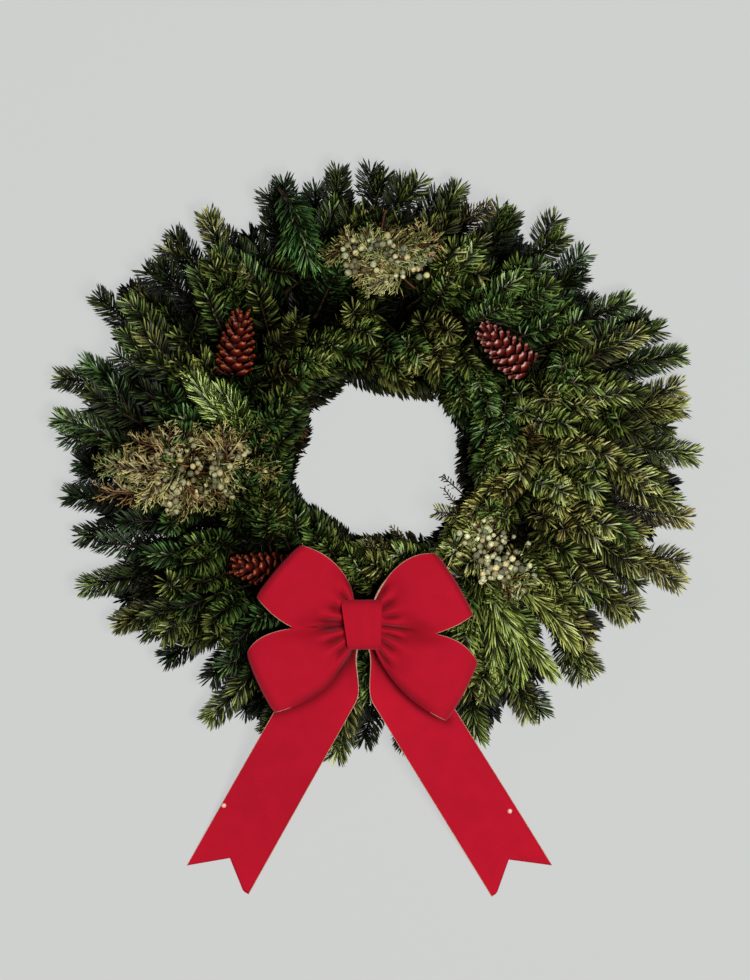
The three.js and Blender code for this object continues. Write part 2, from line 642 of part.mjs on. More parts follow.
function bowTail(place) {
  const { start, out, length } = tailLine(place);
  const side = point(-out.y, out.x, 0);
  const rows = [];
  for (let i = 0; i <= TAIL_STEPS; i++) {
    const share = i / TAIL_STEPS;
    const half = gather(TAIL_GATHER, share / TAIL_FLARE);
    rows.push(
      [-1, 0, 1].map((j) => {
        const s = length * share - (i === TAIL_STEPS && j === 0 ? NOTCH : 0);
        const p = start.clone().addScaledVector(out, s).addScaledVector(side, half * j);
        return p.setZ(tailHeight(s, length));
      }),
    );
  }
  return solid(strip(rows, RIBBON_THICK));
}

// The twisted wire that ties the bow on: from behind the band down its slot to the ring.
function bowTie() {
  const { ray: r } = slots[BOW_SLOT];
  const t = r.along(KNOT);
  return straight(r.at(alongRay(RING_RADIUS), 0, RING_WIRE + 3), r.at(t, 0, BAND.back - CLEARANCE), TIE_WIRE);
}

// ---------- the wreath ----------

const material = (color, roughness, metalness = 0) =>
  new THREE.MeshStandardMaterial({ color, roughness, metalness });
const COLOURS = {
  fir: material(0x3b4d22, 0.6),
  juniper: material(0x7d7a3f, 0.7),
  berries: material(0xb4b89a, 0.6),
  pine: material(0x7f9a3f, 0.5),
  cone: material(0x7a2f1c, 0.45),
  velvet: material(0xb01628, 0.85),
  steel: material(0x3c4a3a, 0.5, 0.8),
};

const wreath = new THREE.Group();
function add(name, made, finish) {
  const mesh = new THREE.Mesh(geometryOf(made), finish);
  mesh.name = name;
  wreath.add(mesh);
}

add("clamp_ring", clampRing(), COLOURS.steel);
BUNCHES.forEach((_, k) => add(`fir_bunch_${String(k + 1).padStart(2, "0")}`, firBunch(k), COLOURS.fir));
for (const place of Object.keys(JUNIPER)) {
  add(`juniper_${place}`, juniperFoliage(place), COLOURS.juniper);
  add(`juniper_berries_${place}`, juniperBerries(place), COLOURS.berries);
}
for (const place of Object.keys(PINES)) add(`pine_spray_${place}`, pineSpray(place), COLOURS.pine);
for (const place of Object.keys(CONES)) {
  add(`pine_cone_${place}`, pineCone(place), COLOURS.cone);
  add(`cone_pick_${place}`, conePick(place), COLOURS.steel);
}
for (const place of Object.keys(LOOPS)) add(`bow_loop_${place}`, bowLoop(place), COLOURS.velvet);
add("bow_band", bowBand(), COLOURS.velvet);
for (const place of Object.keys(TAILS)) add(`bow_tail_${place}`, bowTail(place), COLOURS.velvet);
add("bow_tie_wire", bowTie(), COLOURS.steel);

// The origin is the middle of the footprint, on the surface that the wreath lies on.
const box = new THREE.Box3().setFromObject(wreath);
const middle = box.getCenter(point(0, 0, 0));
wreath.position.set(-middle.x, -middle.y, -box.min.z);

export default wreath;
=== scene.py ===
# The looks of a fresh evergreen wreath that lies on its back, face up, under a camera that looks
# straight down on it. The frame is in metres. Foliage and ribbon are worked out in millimetres from
# the middle of the wreath's hole, with +Y towards the top of the wreath, and put into their meshes
# in metres.

import json
import math

import bpy
import numpy as np
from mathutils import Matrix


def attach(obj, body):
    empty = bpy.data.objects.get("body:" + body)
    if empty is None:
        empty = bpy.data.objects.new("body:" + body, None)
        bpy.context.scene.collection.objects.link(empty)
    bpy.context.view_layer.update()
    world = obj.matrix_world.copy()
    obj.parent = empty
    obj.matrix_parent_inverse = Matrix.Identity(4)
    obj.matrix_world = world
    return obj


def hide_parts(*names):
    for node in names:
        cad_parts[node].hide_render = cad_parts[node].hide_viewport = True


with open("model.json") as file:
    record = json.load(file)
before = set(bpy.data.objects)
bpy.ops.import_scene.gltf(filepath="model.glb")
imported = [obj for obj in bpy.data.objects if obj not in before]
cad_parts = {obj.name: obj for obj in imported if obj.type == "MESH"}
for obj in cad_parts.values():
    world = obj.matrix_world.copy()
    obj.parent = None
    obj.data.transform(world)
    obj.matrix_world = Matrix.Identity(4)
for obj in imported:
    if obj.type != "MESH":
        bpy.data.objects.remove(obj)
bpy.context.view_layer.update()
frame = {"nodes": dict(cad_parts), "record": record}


# ---------- floor, light and camera ----------
# A plain pale grey light table, lit by a soft lamp high on the right, a weaker one on the left and a
# pale room. The camera hangs over the wreath with a long lens.

MM_PER_PIXEL = 0.96
FRAME_HEIGHT_PX = 980
HOLE_ABOVE_MIDDLE_PX = 28
CAMERA_HEIGHT = 6.0
FOLIAGE_HEIGHT = 0.05
TABLE_REACH = 6

low, high = np.array(frame["record"]["physics"]["openings"][0]["box_m"])
HOLE = (low + high) / 2 * (1, 1, 0)


def put(name, data):
    """An object that holds data, in the scene."""
    made = bpy.data.objects.new(name, data)
    bpy.context.collection.objects.link(made)
    return made


def lamp(name, place, size, power, colour):
    """A square lamp at place, turned to face the middle of the hole."""
    data = bpy.data.lights.new(name, "AREA")
    data.size = size
    data.energy = power
    data.color = colour
    light = put(name, data)
    light.location = place
    towards = np.array((HOLE[0], HOLE[1], 0)) - place
    tilt = math.atan2(math.hypot(towards[0], towards[1]), -towards[2])
    light.rotation_euler = (tilt, 0, math.atan2(-towards[0], towards[1]))


def blank(name):
    """A new material, with only its shader."""
    material = bpy.data.materials.new(name)
    material.use_nodes = True
    return material


def feed(material, node, inputs):
    """Gives a node its inputs. Each is a number, a colour or the socket that it comes from."""
    for socket, value in inputs.items():
        if isinstance(value, bpy.types.NodeSocket):
            material.node_tree.links.new(value, node.inputs[socket])
        else:
            node.inputs[socket].default_value = (*value, 1.0) if isinstance(value, tuple) else value


def finished(material, inputs):
    """The material, with the inputs of its shader set."""
    feed(material, material.node_tree.nodes["Principled BSDF"], inputs)
    return material


lamp("key_lamp", (0.5, -0.3, 2.75), 0.6, 92, (1.0, 0.985, 0.95))
lamp("fill_lamp", (-1.5, 0.8, 2.7), 1.5, 12, (1.0, 1.0, 0.97))

world = bpy.data.worlds.new("pale_room")
world.use_nodes = True
room = world.node_tree.nodes["Background"].inputs
room["Color"].default_value = (1.0, 0.99, 0.95, 1)
room["Strength"].default_value = 0.06
bpy.context.scene.world = world
bpy.context.scene.view_settings.view_transform = "Standard"

table_mesh = bpy.data.meshes.new("table_top")
table_corners = [(x * TABLE_REACH, y * TABLE_REACH, 0) for x, y in ((-1, -1), (1, -1), (1, 1), (-1, 1))]
table_mesh.from_pydata(table_corners, [], [(0, 1, 2, 3)])
table_top = put("table_top", table_mesh)
table_mesh.materials.append(finished(blank("pale_light_table"), {
    "Base Color": (0.05, 0.051, 0.05),
    "Roughness": 0.9,
    "Emission Color": (0.98, 1.0, 0.99),
    "Emission Strength": 0.555,
}))

camera_data = bpy.data.cameras.new("camera")
camera_data.sensor_fit = "VERTICAL"
camera_data.sensor_height = 24
frame_height = FRAME_HEIGHT_PX * MM_PER_PIXEL / 1000
camera_data.lens = camera_data.sensor_height * (CAMERA_HEIGHT - FOLIAGE_HEIGHT) / frame_height
camera_data.clip_end = 20
camera = put("camera", camera_data)
camera.location = (HOLE[0], HOLE[1] - HOLE_ABOVE_MIDDLE_PX * MM_PER_PIXEL / 1000, CAMERA_HEIGHT)
bpy.context.scene.camera = camera


# ---------- clamp ring, cone picks and tie wire ----------
# The ring is heavy steel wire with clamps bent round the bound stems, painted dark green. The cones
# stand on thin wires, and one more twisted wire ties the bow to the ring. They stay as they are in
# the solids and only get their paint.


def made_node(material, kind, inputs={}, **settings):
    """A new node of a kind, with its inputs and settings."""
    node = material.node_tree.nodes.new("ShaderNode" + kind)
    for setting, value in settings.items():
        setattr(node, setting, value)
    feed(material, node, inputs)
    return node


def mixed(material, a, b, factor, kind="MIX"):
    """A colour mix of a and b, each a colour or a socket."""
    inputs = {6: a, 7: b, 0: factor}
    return made_node(material, "Mix", inputs, data_type="RGBA", blend_type=kind).outputs[2]


def mapped(material, value, from_low, from_high, to_low=0.0, to_high=1.0):
    """value carried from one range to another and held inside it."""
    limits = {"From Min": from_low, "From Max": from_high, "To Min": to_low, "To Max": to_high}
    return made_node(material, "MapRange", {**limits, "Value": value}).outputs["Result"]


def noise(material, scale, detail, place=None):
    """Noise over place, or else over the object's own coordinates."""
    place = place or made_node(material, "TexCoord").outputs["Object"]
    inputs = {"Vector": place, "Scale": scale, "Detail": detail}
    return made_node(material, "TexNoise", inputs).outputs["Fac"]


def bump(material, height, strength, distance):
    """A surface normal that follows height."""
    inputs = {"Height": height, "Strength": strength, "Distance": distance}
    return made_node(material, "Bump", inputs).outputs["Normal"]


def painted_wire(name, colour, bare_metal, roughness):
    """Painted wire: colour over bare_metal, which shows where a noise over the object is high, with
    fine pits in the paint."""
    material = blank(name)
    wear = noise(material, 90, 6)
    bare = mapped(material, wear, 0.56, 0.64)
    return finished(material, {
        "Base Color": mixed(material, colour, bare_metal, bare),
        "Metallic": bare,
        "Roughness": roughness,
        "Normal": bump(material, wear, 0.25, 0.0003),
    })


def paint_solid(node, paint):
    """Puts a paint on one of the solids."""
    mesh = frame["nodes"][node].data
    mesh.materials.clear()
    mesh.materials.append(paint)


green_paint = painted_wire("green_painted_wire", (0.018, 0.05, 0.022), (0.22, 0.22, 0.2), 0.45)
florist_wire = painted_wire("florist_wire", (0.03, 0.045, 0.025), (0.3, 0.29, 0.27), 0.35)
paint_solid("clamp_ring", green_paint)
for node in ("cone_pick_upper_left", "cone_pick_upper_right", "cone_pick_lower_left", "bow_tie_wire"):
    paint_solid(node, florist_wire)


# ---------- fir ----------
# Thirty bunches of cut fir tips, held by their butts round the ring, each about thirty shoots like
# bottle brushes. The bunches lean clockwise, each along a ray that touches a circle of SWIRL_RADIUS.
# The foliage is pressed down under the bow and its tails, and round the cones.

SWIRL_RADIUS = 55.0
RING_RADIUS = 152.4
# The direction of each bunch's longest tip, in degrees anticlockwise from +X, how far it reaches,
# how far in towards the middle of the hole the needles of its rim shoots come, and how much yellower
# it is than the rest.
BUNCHES = np.array([
    (1, 313, 82, 0.1), (10, 298, 87, 0.15), (19, 318, 86, -0.1), (32, 294, 84, -0.3),
    (42, 274, 79, -0.35), (50, 288, 83, -0.2), (61, 277, 79, 0.15), (73, 281, 71, 0.2),
    (84, 278, 66, -0.05), (97, 288, 68, 0.0), (108, 290, 76, -0.1), (124, 294, 78, 0.2),
    (137, 288, 72, 0.0), (149, 316, 74, 0.4), (161, 300, 64, -0.2), (172, 314, 64, -0.15),
    (186, 303, 69, -0.2), (203, 310, 77, -0.15), (212, 298, 76, 0.0), (223, 281, 70, -0.05),
    (237, 300, 65, -0.1), (248, 284, 64, 0.0), (262, 292, 65, 0.1), (276, 280, 64, 0.15),
    (290, 290, 69, 0.0), (301, 292, 81, -0.1), (316, 296, 88, 0.05), (328, 288, 84, 0.1),
    (338, 321, 78, 0.3), (352, 298, 88, 0.1),
])
# The shoots of a bunch that grow outwards, from the edge of the wreath inwards: radius and height of
# the tip, radius and height where its needles begin, degrees to the side of the bunch's ray, and how
# pale it is painted. A negative radius is measured back from the bunch's reach. Dark ones lie
# underneath; their darkness is painted shade.
OUTER_SHOOTS = [
    (-9, 34, 222, 36, 0.0, 1.0),
    (-24, 26, 210, 28, 5.6, 0.85),
    (-32, 22, 205, 24, -4.6, 0.7),
    (-32, 16, 195, 18, 1.4, 0.26),
    (-52, 9, 180, 9, 3.6, 0.26),
    (-56, 11, 175, 11, -3.4, 0.26),
    (-44, 60, 186, 48, -2.2, 1.0),
    (-60, 52, 176, 42, 4.0, 0.85),
    (-80, 22, 150, 18, 0.0, 0.26),
    (-84, 26, 150, 20, 5.5, 0.26),
    (226, 86, 152, 58, 1.0, 1.0),
    (212, 76, 148, 52, -5.5, 0.75),
    (204, 40, 126, 26, 3.0, 0.26),
    (232, 30, 132, 20, -2.5, 0.26),
    (190, 102, 140, 62, -3.0, 1.0),
    (170, 46, 104, 30, -2.0, 0.26),
    (176, 34, 108, 22, 5.0, 0.26),
    (164, 26, 100, 18, -8.0, 0.26),
]
# Shoots that stand up in the thick of a bunch: radius, degrees from the bunch's place on the ring,
# and the height of their feet.
UPRIGHT_SHOOTS = [(128, -9), (150, 3), (176, -5), (206, -9)]
UPRIGHT_FOOT = 58.0
# The shoots that run round the rim of the hole: for each of four points along them, how far out from
# the innermost needles, the degrees from the bunch's place on the ring, and the height; and how pale,
# the lower ones darker with painted shade.
RIM_SHOOTS = [
    ((70, 8, 22), (34, 4, 32), (16, -12, 36), (19, -28, 38), 0.22),
    ((70, 8, 30), (38, 0, 60), (22, -10, 68), (24, -24, 72), 0.4),
    ((66, 4, 34), (46, 0, 74), (36, -8, 94), (27, -17, 104), 0.9),
    ((72, -6, 40), (60, -12, 78), (52, -18, 98), (42, -26, 108), 0.95),
]
# Shoots of single bunches, most of them gone brown, bare twigs over the edge of the hole, and low
# dark green ones whose darkness is painted shade that fills gaps: the bunch each is in, the radius,
# degrees and height of its foot and of its tip, its hue (0 is cool green, 1 is yellow and 1.5 is
# brown), how pale it is, and the length of its needles.
ODD_SHOOTS = [
    (2, (164, 15, 76), (180, 20, 110), 1.15, 1.2, 13),
    (1, (142, 6, 76), (156, 12, 108), 1.4, 0.8, 12),
    (9, (120, 90, 60), (100, 95, 96), 1.5, 0.6, 12),
    (10, (128, 100, 60), (108, 104, 92), 1.4, 0.7, 12),
    (10, (246, 70, 68), (266, 66, 76), 1.3, 0.8, 14),
    (16, (104, 150, 50), (80, 158, 52), 1.4, 0.25, 15),
    (16, (112, 156, 60), (78, 170, 44), 1.2, 0.15, 16),
    (28, (96, 338, 84), (65, 348, 88), 1.2, 0.35, 5),
    (27, (100, 330, 84), (70, 339, 92), 1.3, 0.35, 5),
    (27, (118, 332, 84), (76, 321, 88), 0.95, 1.0, 12),
    (25, (104, 292, 86), (64, 284, 90), 1.1, 0.8, 6),
    (24, (108, 286, 84), (72, 272, 86), 1.3, 0.7, 6),
    (23, (108, 270, 84), (74, 264, 84), 1.2, 0.7, 6),
    (13, (190, 146, 22), (268, 143, 16), 0.4, 0.26, 19),
    (13, (185, 147, 40), (250, 144, 44), 0.4, 0.5, 19),
    (18, (150, 204, 44), (192, 199, 46), 0.4, 0.26, 19),
    (14, (112, 152, 44), (150, 145, 52), 0.4, 0.26, 19),
    (22, (136, 268, 62), (104, 258, 84), 0.8, 0.9, 16),
    (23, (136, 258, 62), (108, 266, 84), 0.7, 0.8, 16),
    (23, (140, 262, 50), (106, 262, 66), 0.5, 0.5, 18),
]
# Shoots that lie low along the ring, in every bunch, dark with painted shade: foot and tip, each as
# radius, degrees from the bunch's place on the ring, and height.
LOW_SHOOTS = [
    ((138, 12, 28), (114, -14, 44)),
    ((116, 10, 32), (138, -14, 40)),
    ((170, 9, 26), (156, -13, 36)),
]
# How high the butts of the shoots lie, how low and how high a curve may go and how far it stays under
# the ceiling; how many of the pale shoots fork, and at how many degrees.
BUTT_HEIGHT, LOWEST, TALLEST, BELOW_CEILING = 20, 6, 112, 15
FORK_SHARE, FORK_ANGLE = 0.4, 34
NEEDLE_LENGTH = 19.5
NEEDLE_WIDTH, DARK_NEEDLE_WIDTH = 1.7, 2.7
ODD_NEEDLE_WIDTH, LOW_NEEDLE_WIDTH = 1.4, 2.6
NEEDLE_THICK = 0.5
NEEDLES_PER_MM, BUSHIER = 2.1, 1.45
TWIG_RADIUS = 1.1
GOLDEN_ANGLE = 2.39996
# How high the foliage stands at each distance from the middle of the hole, and how far below that
# needles are painted dark, a painted shade.
CANOPY = ((70, 100, 140, 200, 260, 320), (60, 100, 118, 102, 72, 38))
CANOPY_DARK_DEPTH = 44
# Painted light on single needles: four in ten get painted shade, as if turned away from the light,
# and one in seven a painted highlight, as if it shines in it.
TURNED_AWAY, SHINING = 0.42, 0.86
DULL, PLAIN, BRIGHT = 0.16, 1.15, 2.3

# The bow: the middle of its knot and the direction and length of each loop; each tail's two ends.
# Each cone: its place, the height of its underside and the direction of its narrow end. Nothing green
# may stand over these, so it has a height it stays under below the loops, and a gap below the tails.
RIBBON = 63.5
KNOT = np.array((-11.5, -154.5, 118.0))
LOOPS = {
    "upper_left": (147.6, 92.0),
    "upper_right": (23.7, 92.0),
    "lower_left": (209.8, 108.0),
    "lower_right": (325.9, 110.0),
}
TAILS = {
    "left": ((-22.0, -171.0), (-153.5, -406.5)),
    "right": ((-1.0, -171.0), (143.5, -407.5)),
}
TAIL_TOP, TAIL_FLOOR = 100.0, 0.6
UNDER_LOOPS, UNDER_TAILS, NO_CEILING = 98, 4, 400.0
CONE_HALF_LENGTH, CONE_HALF_WIDTH = 34, 23
CONES = {
    "upper_left": (-131.0, 114.0, 76.0, 82.0),
    "upper_right": (123.0, 108.0, 76.0, 138.0),
    "lower_left": (-108.0, -103.0, 54.0, 170.0),
}


def unit(vectors):
    """Each vector divided by its own length."""
    return vectors / np.maximum(np.linalg.norm(vectors, axis=-1, keepdims=True), 1e-9)


def smooth(x):
    """3 x^2 - 2 x^3, with x held between 0 and 1."""
    x = np.clip(x, 0, 1)
    return x * x * (3 - 2 * x)


def leaning(forward, out, angle):
    """The direction that leans from forward towards out by an angle in radians."""
    return forward * np.cos(angle) + out * np.sin(angle)


def tail_height(s, length):
    """Half a wave of a cosine, from the knot's height at s = 0 down to the table at s = length."""
    share = np.clip(s / length, 0, 1)
    return TAIL_FLOOR + (TAIL_TOP - TAIL_FLOOR) * (1 + np.cos(np.pi * share)) / 2


def tail_line(place_name):
    """The middle line of a tail in plan: its start, its direction, the way to the left of that and
    its length."""
    start, end = np.array(TAILS[place_name])
    length = np.linalg.norm(end - start)
    out = (end - start) / length
    return start, out, np.array((-out[1], out[0])), length


def cos_sin(degrees):
    """The cosine and the sine of an angle."""
    return math.cos(math.radians(degrees)), math.sin(math.radians(degrees))


def measured(x, y, origin, c, s):
    """x and y measured from origin, along the direction (c, s) and to the left of it."""
    x, y = x - origin[0], y - origin[1]
    return x * c + y * s, y * c - x * s


def ceiling(points):
    """How high foliage may stand at each point: under the loops, under the tails, and up to 6 mm
    above the underside of a cone within its footprint."""
    x, y = points[..., 0], points[..., 1]
    top = np.full(x.shape, NO_CEILING)
    for direction, length in LOOPS.values():
        u, v = measured(x, y, KNOT, *cos_sin(direction))
        over = (u > -10) & (u < length + 3) & (np.abs(v) < RIBBON / 2 + 1)
        top = np.where(over, np.minimum(top, UNDER_LOOPS), top)
    for place_name in TAILS:
        start, out, _, length = tail_line(place_name)
        u, v = measured(x, y, start, *out)
        over = (u > -20) & (u < length + 3) & (np.abs(v) < RIBBON / 2 + 2)
        top = np.where(over, np.minimum(top, tail_height(u, length) - UNDER_TAILS), top)
    for cone_x, cone_y, floor, turn in CONES.values():
        u, v = measured(x, y, (cone_x, cone_y), *cos_sin(turn))
        over = (u / CONE_HALF_LENGTH) ** 2 + (v / CONE_HALF_WIDTH) ** 2 < 1
        top = np.where(over, np.minimum(top, floor + 6), top)
    return top


def on_wreath(radius, degrees, height):
    """The point at a radius, an angle anticlockwise from +X and a height."""
    turn = np.radians(degrees)
    return np.stack(np.broadcast_arrays(radius * np.cos(turn), radius * np.sin(turn), height), axis=-1)


def along_curve(ends, u):
    """Point and direction at u on cubic Bezier curves whose control points are ends[..., 0:4, :]:
    (1-u)^3 a + 3 (1-u)^2 u b + 3 (1-u) u^2 c + u^3 d, and its slope."""
    a, b, c, d = (ends[..., k, :] for k in range(4))
    u = np.asarray(u)[..., None]
    v = 1 - u
    place = v**3 * a + 3 * v**2 * u * b + 3 * v * u**2 * c + u**3 * d
    slope = 3 * v**2 * (b - a) + 6 * v * u * (c - b) + 3 * u**2 * (d - c)
    return place, unit(slope)


def copied(one, size, count):
    """The triangles of count like shapes of size vertices each, from those of one."""
    return (np.array(one)[None] + size * np.arange(count)[:, None, None]).reshape(-1, 3)


def capped_rings(count, rings, sides):
    """The triangles and the number of vertices of closed shapes, each a point, rings of sides points
    and a point."""
    one = []
    last = 1 + (rings - 1) * sides
    for j in range(sides):
        k = (j + 1) % sides
        one.append((0, 1 + k, 1 + j))
        for r in range(rings - 1):
            a, b = 1 + r * sides + j, 1 + r * sides + k
            one += [(a, b, b + sides), (a, b + sides, a + sides)]
        one.append((last + j, last + k, last + sides))
    size = rings * sides + 2
    return copied(one, size, count), size


def blade_path(start, end, v):
    """The middle line of a blade of length 1 that sets out along start and ends along end: start *
    (v - v^2 / 2) + end * v^2 / 2."""
    return start * (v - v**2 / 2) + end * v**2 / 2


def blades(root, start, end, face, length, width, thickness, bends=(0.0, 0.76)):
    """Closed three-sided blades, many at once. A blade's middle line is root + length * blade_path
    for v from 0 to 1. At each bend a triangle stands square to it, with two corners swell * width
    apart and a ridge swell * thickness above them towards face, where swell is 0.5 + 0.65 v. The tip
    is a point. Gives vertices, triangles, how pale each vertex is painted, which is more on the ridge
    and towards the tip: a painted highlight along the ridge, with painted shade on the sides and at
    the root; and the number of a blade's vertices."""
    n, rings = len(root), len(bends)
    v = np.array(bends)[None, :, None]
    middle = root[:, None] + length[:, None, None] * blade_path(start[:, None], end[:, None], v)
    slope = unit(start[:, None] * (1 - v) + end[:, None] * v)
    side = unit(np.cross(slope, face[:, None]))
    ridge = np.cross(side, slope)
    swell = 0.5 + 0.65 * v
    half = side * swell * width[:, None, None] / 2
    points = np.stack([middle - half, middle + half, middle + ridge * thickness * swell], axis=2)
    tip = root + length[:, None] * blade_path(start, end, 1)
    vertices = np.concatenate([points.reshape(n, rings * 3, 3), tip[:, None]], axis=1)
    one = [(0, 2, 1)]
    for r in range(rings - 1):
        for j in range(3):
            a, b = 3 * r + j, 3 * r + (j + 1) % 3
            one += [(a, b, b + 3), (a, b + 3, a + 3)]
    last = 3 * (rings - 1)
    one += [(last + j, last + (j + 1) % 3, last + 3) for j in range(3)]
    size = 3 * rings + 1
    # Painted light: the ridge and the tip are paler than the sides and the root, which hold painted shade.
    share = np.append(np.ravel([(v * 0.6, v * 0.6, 0.05 + 1.2 * v) for v in bends]), 1.0)
    return vertices.reshape(-1, 3), copied(one, size, n), np.tile(share, n), size


def twigs(ends, radius, taper=0.5, steps=7, sides=5):
    """Closed tubes along many cubic curves: rings of points at even steps of u, whose radius falls
    to taper of itself at the tip, with a point at each end."""
    n = len(ends)
    u = np.linspace(0, 1, steps)
    middle, slope = along_curve(ends[:, None], np.broadcast_to(u, (n, steps)))
    side = unit(np.cross(slope, (0.03, 0.05, 1.0)))
    up = np.cross(side, slope)
    turn = np.arange(sides) * 2 * np.pi / sides
    width = np.reshape(radius, (-1, 1, 1, 1)) * (1 - (1 - taper) * u)[None, :, None, None]
    round_it = side[:, :, None] * np.cos(turn)[:, None] + up[:, :, None] * np.sin(turn)[:, None]
    rings = middle[:, :, None] + width * round_it
    vertices = np.concatenate([middle[:, :1], rings.reshape(n, -1, 3), middle[:, -1:]], axis=1)
    return vertices.reshape(-1, 3), *capped_rings(n, steps, sides)


def tinted(size, hue, shade, share, kind):
    """A row of four values for each vertex of shapes that have size vertices each: hue and shade are
    one value for each shape, share is one for each vertex, and kind is 0 for leaf and 1 for bark."""
    rows = np.empty((len(hue) * size, 4))
    rows[:, 0] = np.repeat(hue, size)
    rows[:, 1] = np.repeat(shade, size)
    rows[:, 2] = share
    rows[:, 3] = kind
    return rows


def leaves(blade, hue, shade, thickness, *bends):
    """A part of a piece: blades, each with its hue and its shade."""
    vertices, faces, share, size = blades(*blade, thickness, *bends)
    return vertices, faces, tinted(size, hue, shade, share, 0.0)


def bark_of(ends, *form):
    """A part of a piece: the bare twigs along the curves ends."""
    vertices, faces, size = twigs(ends, *form)
    return vertices, faces, tinted(size, np.zeros(len(ends)), np.ones(len(ends)), 0.0, 1.0)


def piece(name, parts, material, smooth_faces=False):
    """One object on the root body from parts, each (vertices in mm, triangles, tint), where tint is a
    row of four values for each vertex, kept as the attribute tint."""
    mesh = bpy.data.meshes.new(name)
    starts = np.cumsum([0] + [len(part[0]) for part in parts])
    vertices = np.concatenate([part[0] for part in parts]) / 1000 + HOLE
    faces = np.concatenate([part[1] + first for part, first in zip(parts, starts)]).astype(np.int32)
    mesh.vertices.add(len(vertices))
    mesh.vertices.foreach_set("co", vertices.astype(np.float32).ravel())
    mesh.loops.add(faces.size)
    mesh.loops.foreach_set("vertex_index", faces.ravel())
    mesh.polygons.add(len(faces))
    mesh.polygons.foreach_set("loop_start", np.arange(0, faces.size, 3, dtype=np.int32))
    mesh.update(calc_edges=True)
    mesh.polygons.foreach_set("use_smooth", np.full(len(faces), smooth_faces))
    tint = mesh.attributes.new("tint", "FLOAT_COLOR", "POINT")
    rows = np.concatenate([part[2] for part in parts])
    tint.data.foreach_set("color", rows.astype(np.float32).ravel())
    mesh.materials.append(material)
    made = put(name, mesh)
    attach(made, "root")
    return made


def tint_values(material):
    """The four values of the attribute tint: hue, shade, share and kind."""
    tint = made_node(material, "Attribute", attribute_name="tint").outputs
    hue, shade, share = made_node(material, "SeparateColor", {"Color": tint["Color"]}).outputs
    return hue, shade, share, tint["Alpha"]


def shaded(material, colour, shade):
    """colour multiplied by shade."""
    grey = made_node(material, "CombineColor", {"Red": shade, "Green": shade, "Blue": shade})
    return mixed(material, colour, grey.outputs["Color"], 1.0, "MULTIPLY")


def foliage(name, root_colour, tip_colours, roughness, bark=(0.028, 0.016, 0.008)):
    """Foliage: each needle goes from root_colour to its tip's colour, which the attribute tint sets
    between the three of tip_colours, or past them to dry brown. The dark root colour, which the sides
    of a needle lean towards too, is painted shade. The attribute's shade is painted light and shade
    with some random tone: whole shoots and single needles are painted lighter or darker, and the
    lightest are mixed towards a pale green, a painted highlight that also stands for their bloom."""
    dry_brown, bloom_and_highlight = (0.30, 0.16, 0.05), (0.44, 0.49, 0.33)
    material = blank(name)
    hue, shade, share, kind = tint_values(material)
    cool, middle, warm = tip_colours
    tip = mixed(material, cool, middle, mapped(material, hue, 0.0, 0.5))
    tip = mixed(material, tip, warm, mapped(material, hue, 0.5, 1.0))
    tip = mixed(material, tip, dry_brown, mapped(material, hue, 1.0, 1.5))
    leaf = mixed(material, root_colour, tip, mapped(material, share, 0.15, 0.95))
    # Painted light and shade from the attribute, and a painted highlight on the lightest needles.
    lit = shaded(material, leaf, shade)
    lit = mixed(material, lit, bloom_and_highlight, mapped(material, shade, 1.1, 2.4, 0, 0.6))
    return finished(material, {
        "Base Color": mixed(material, lit, bark, kind),
        "Roughness": roughness,
        "Specular IOR Level": 0.12,
    })


fir_tips = ((0.10, 0.225, 0.06), (0.235, 0.345, 0.06), (0.50, 0.47, 0.13))
fir_needles = foliage("fir_needles", (0.003, 0.006, 0.001), fir_tips, 0.42)


def ray_of(k):
    """The direction of the ray that a bunch lies along, in degrees, from its longest tip."""
    return BUNCHES[k, 0] - math.degrees(math.asin(SWIRL_RADIUS / BUNCHES[k, 1]))


RAY_TO_RING = math.degrees(math.asin(SWIRL_RADIUS / RING_RADIUS))


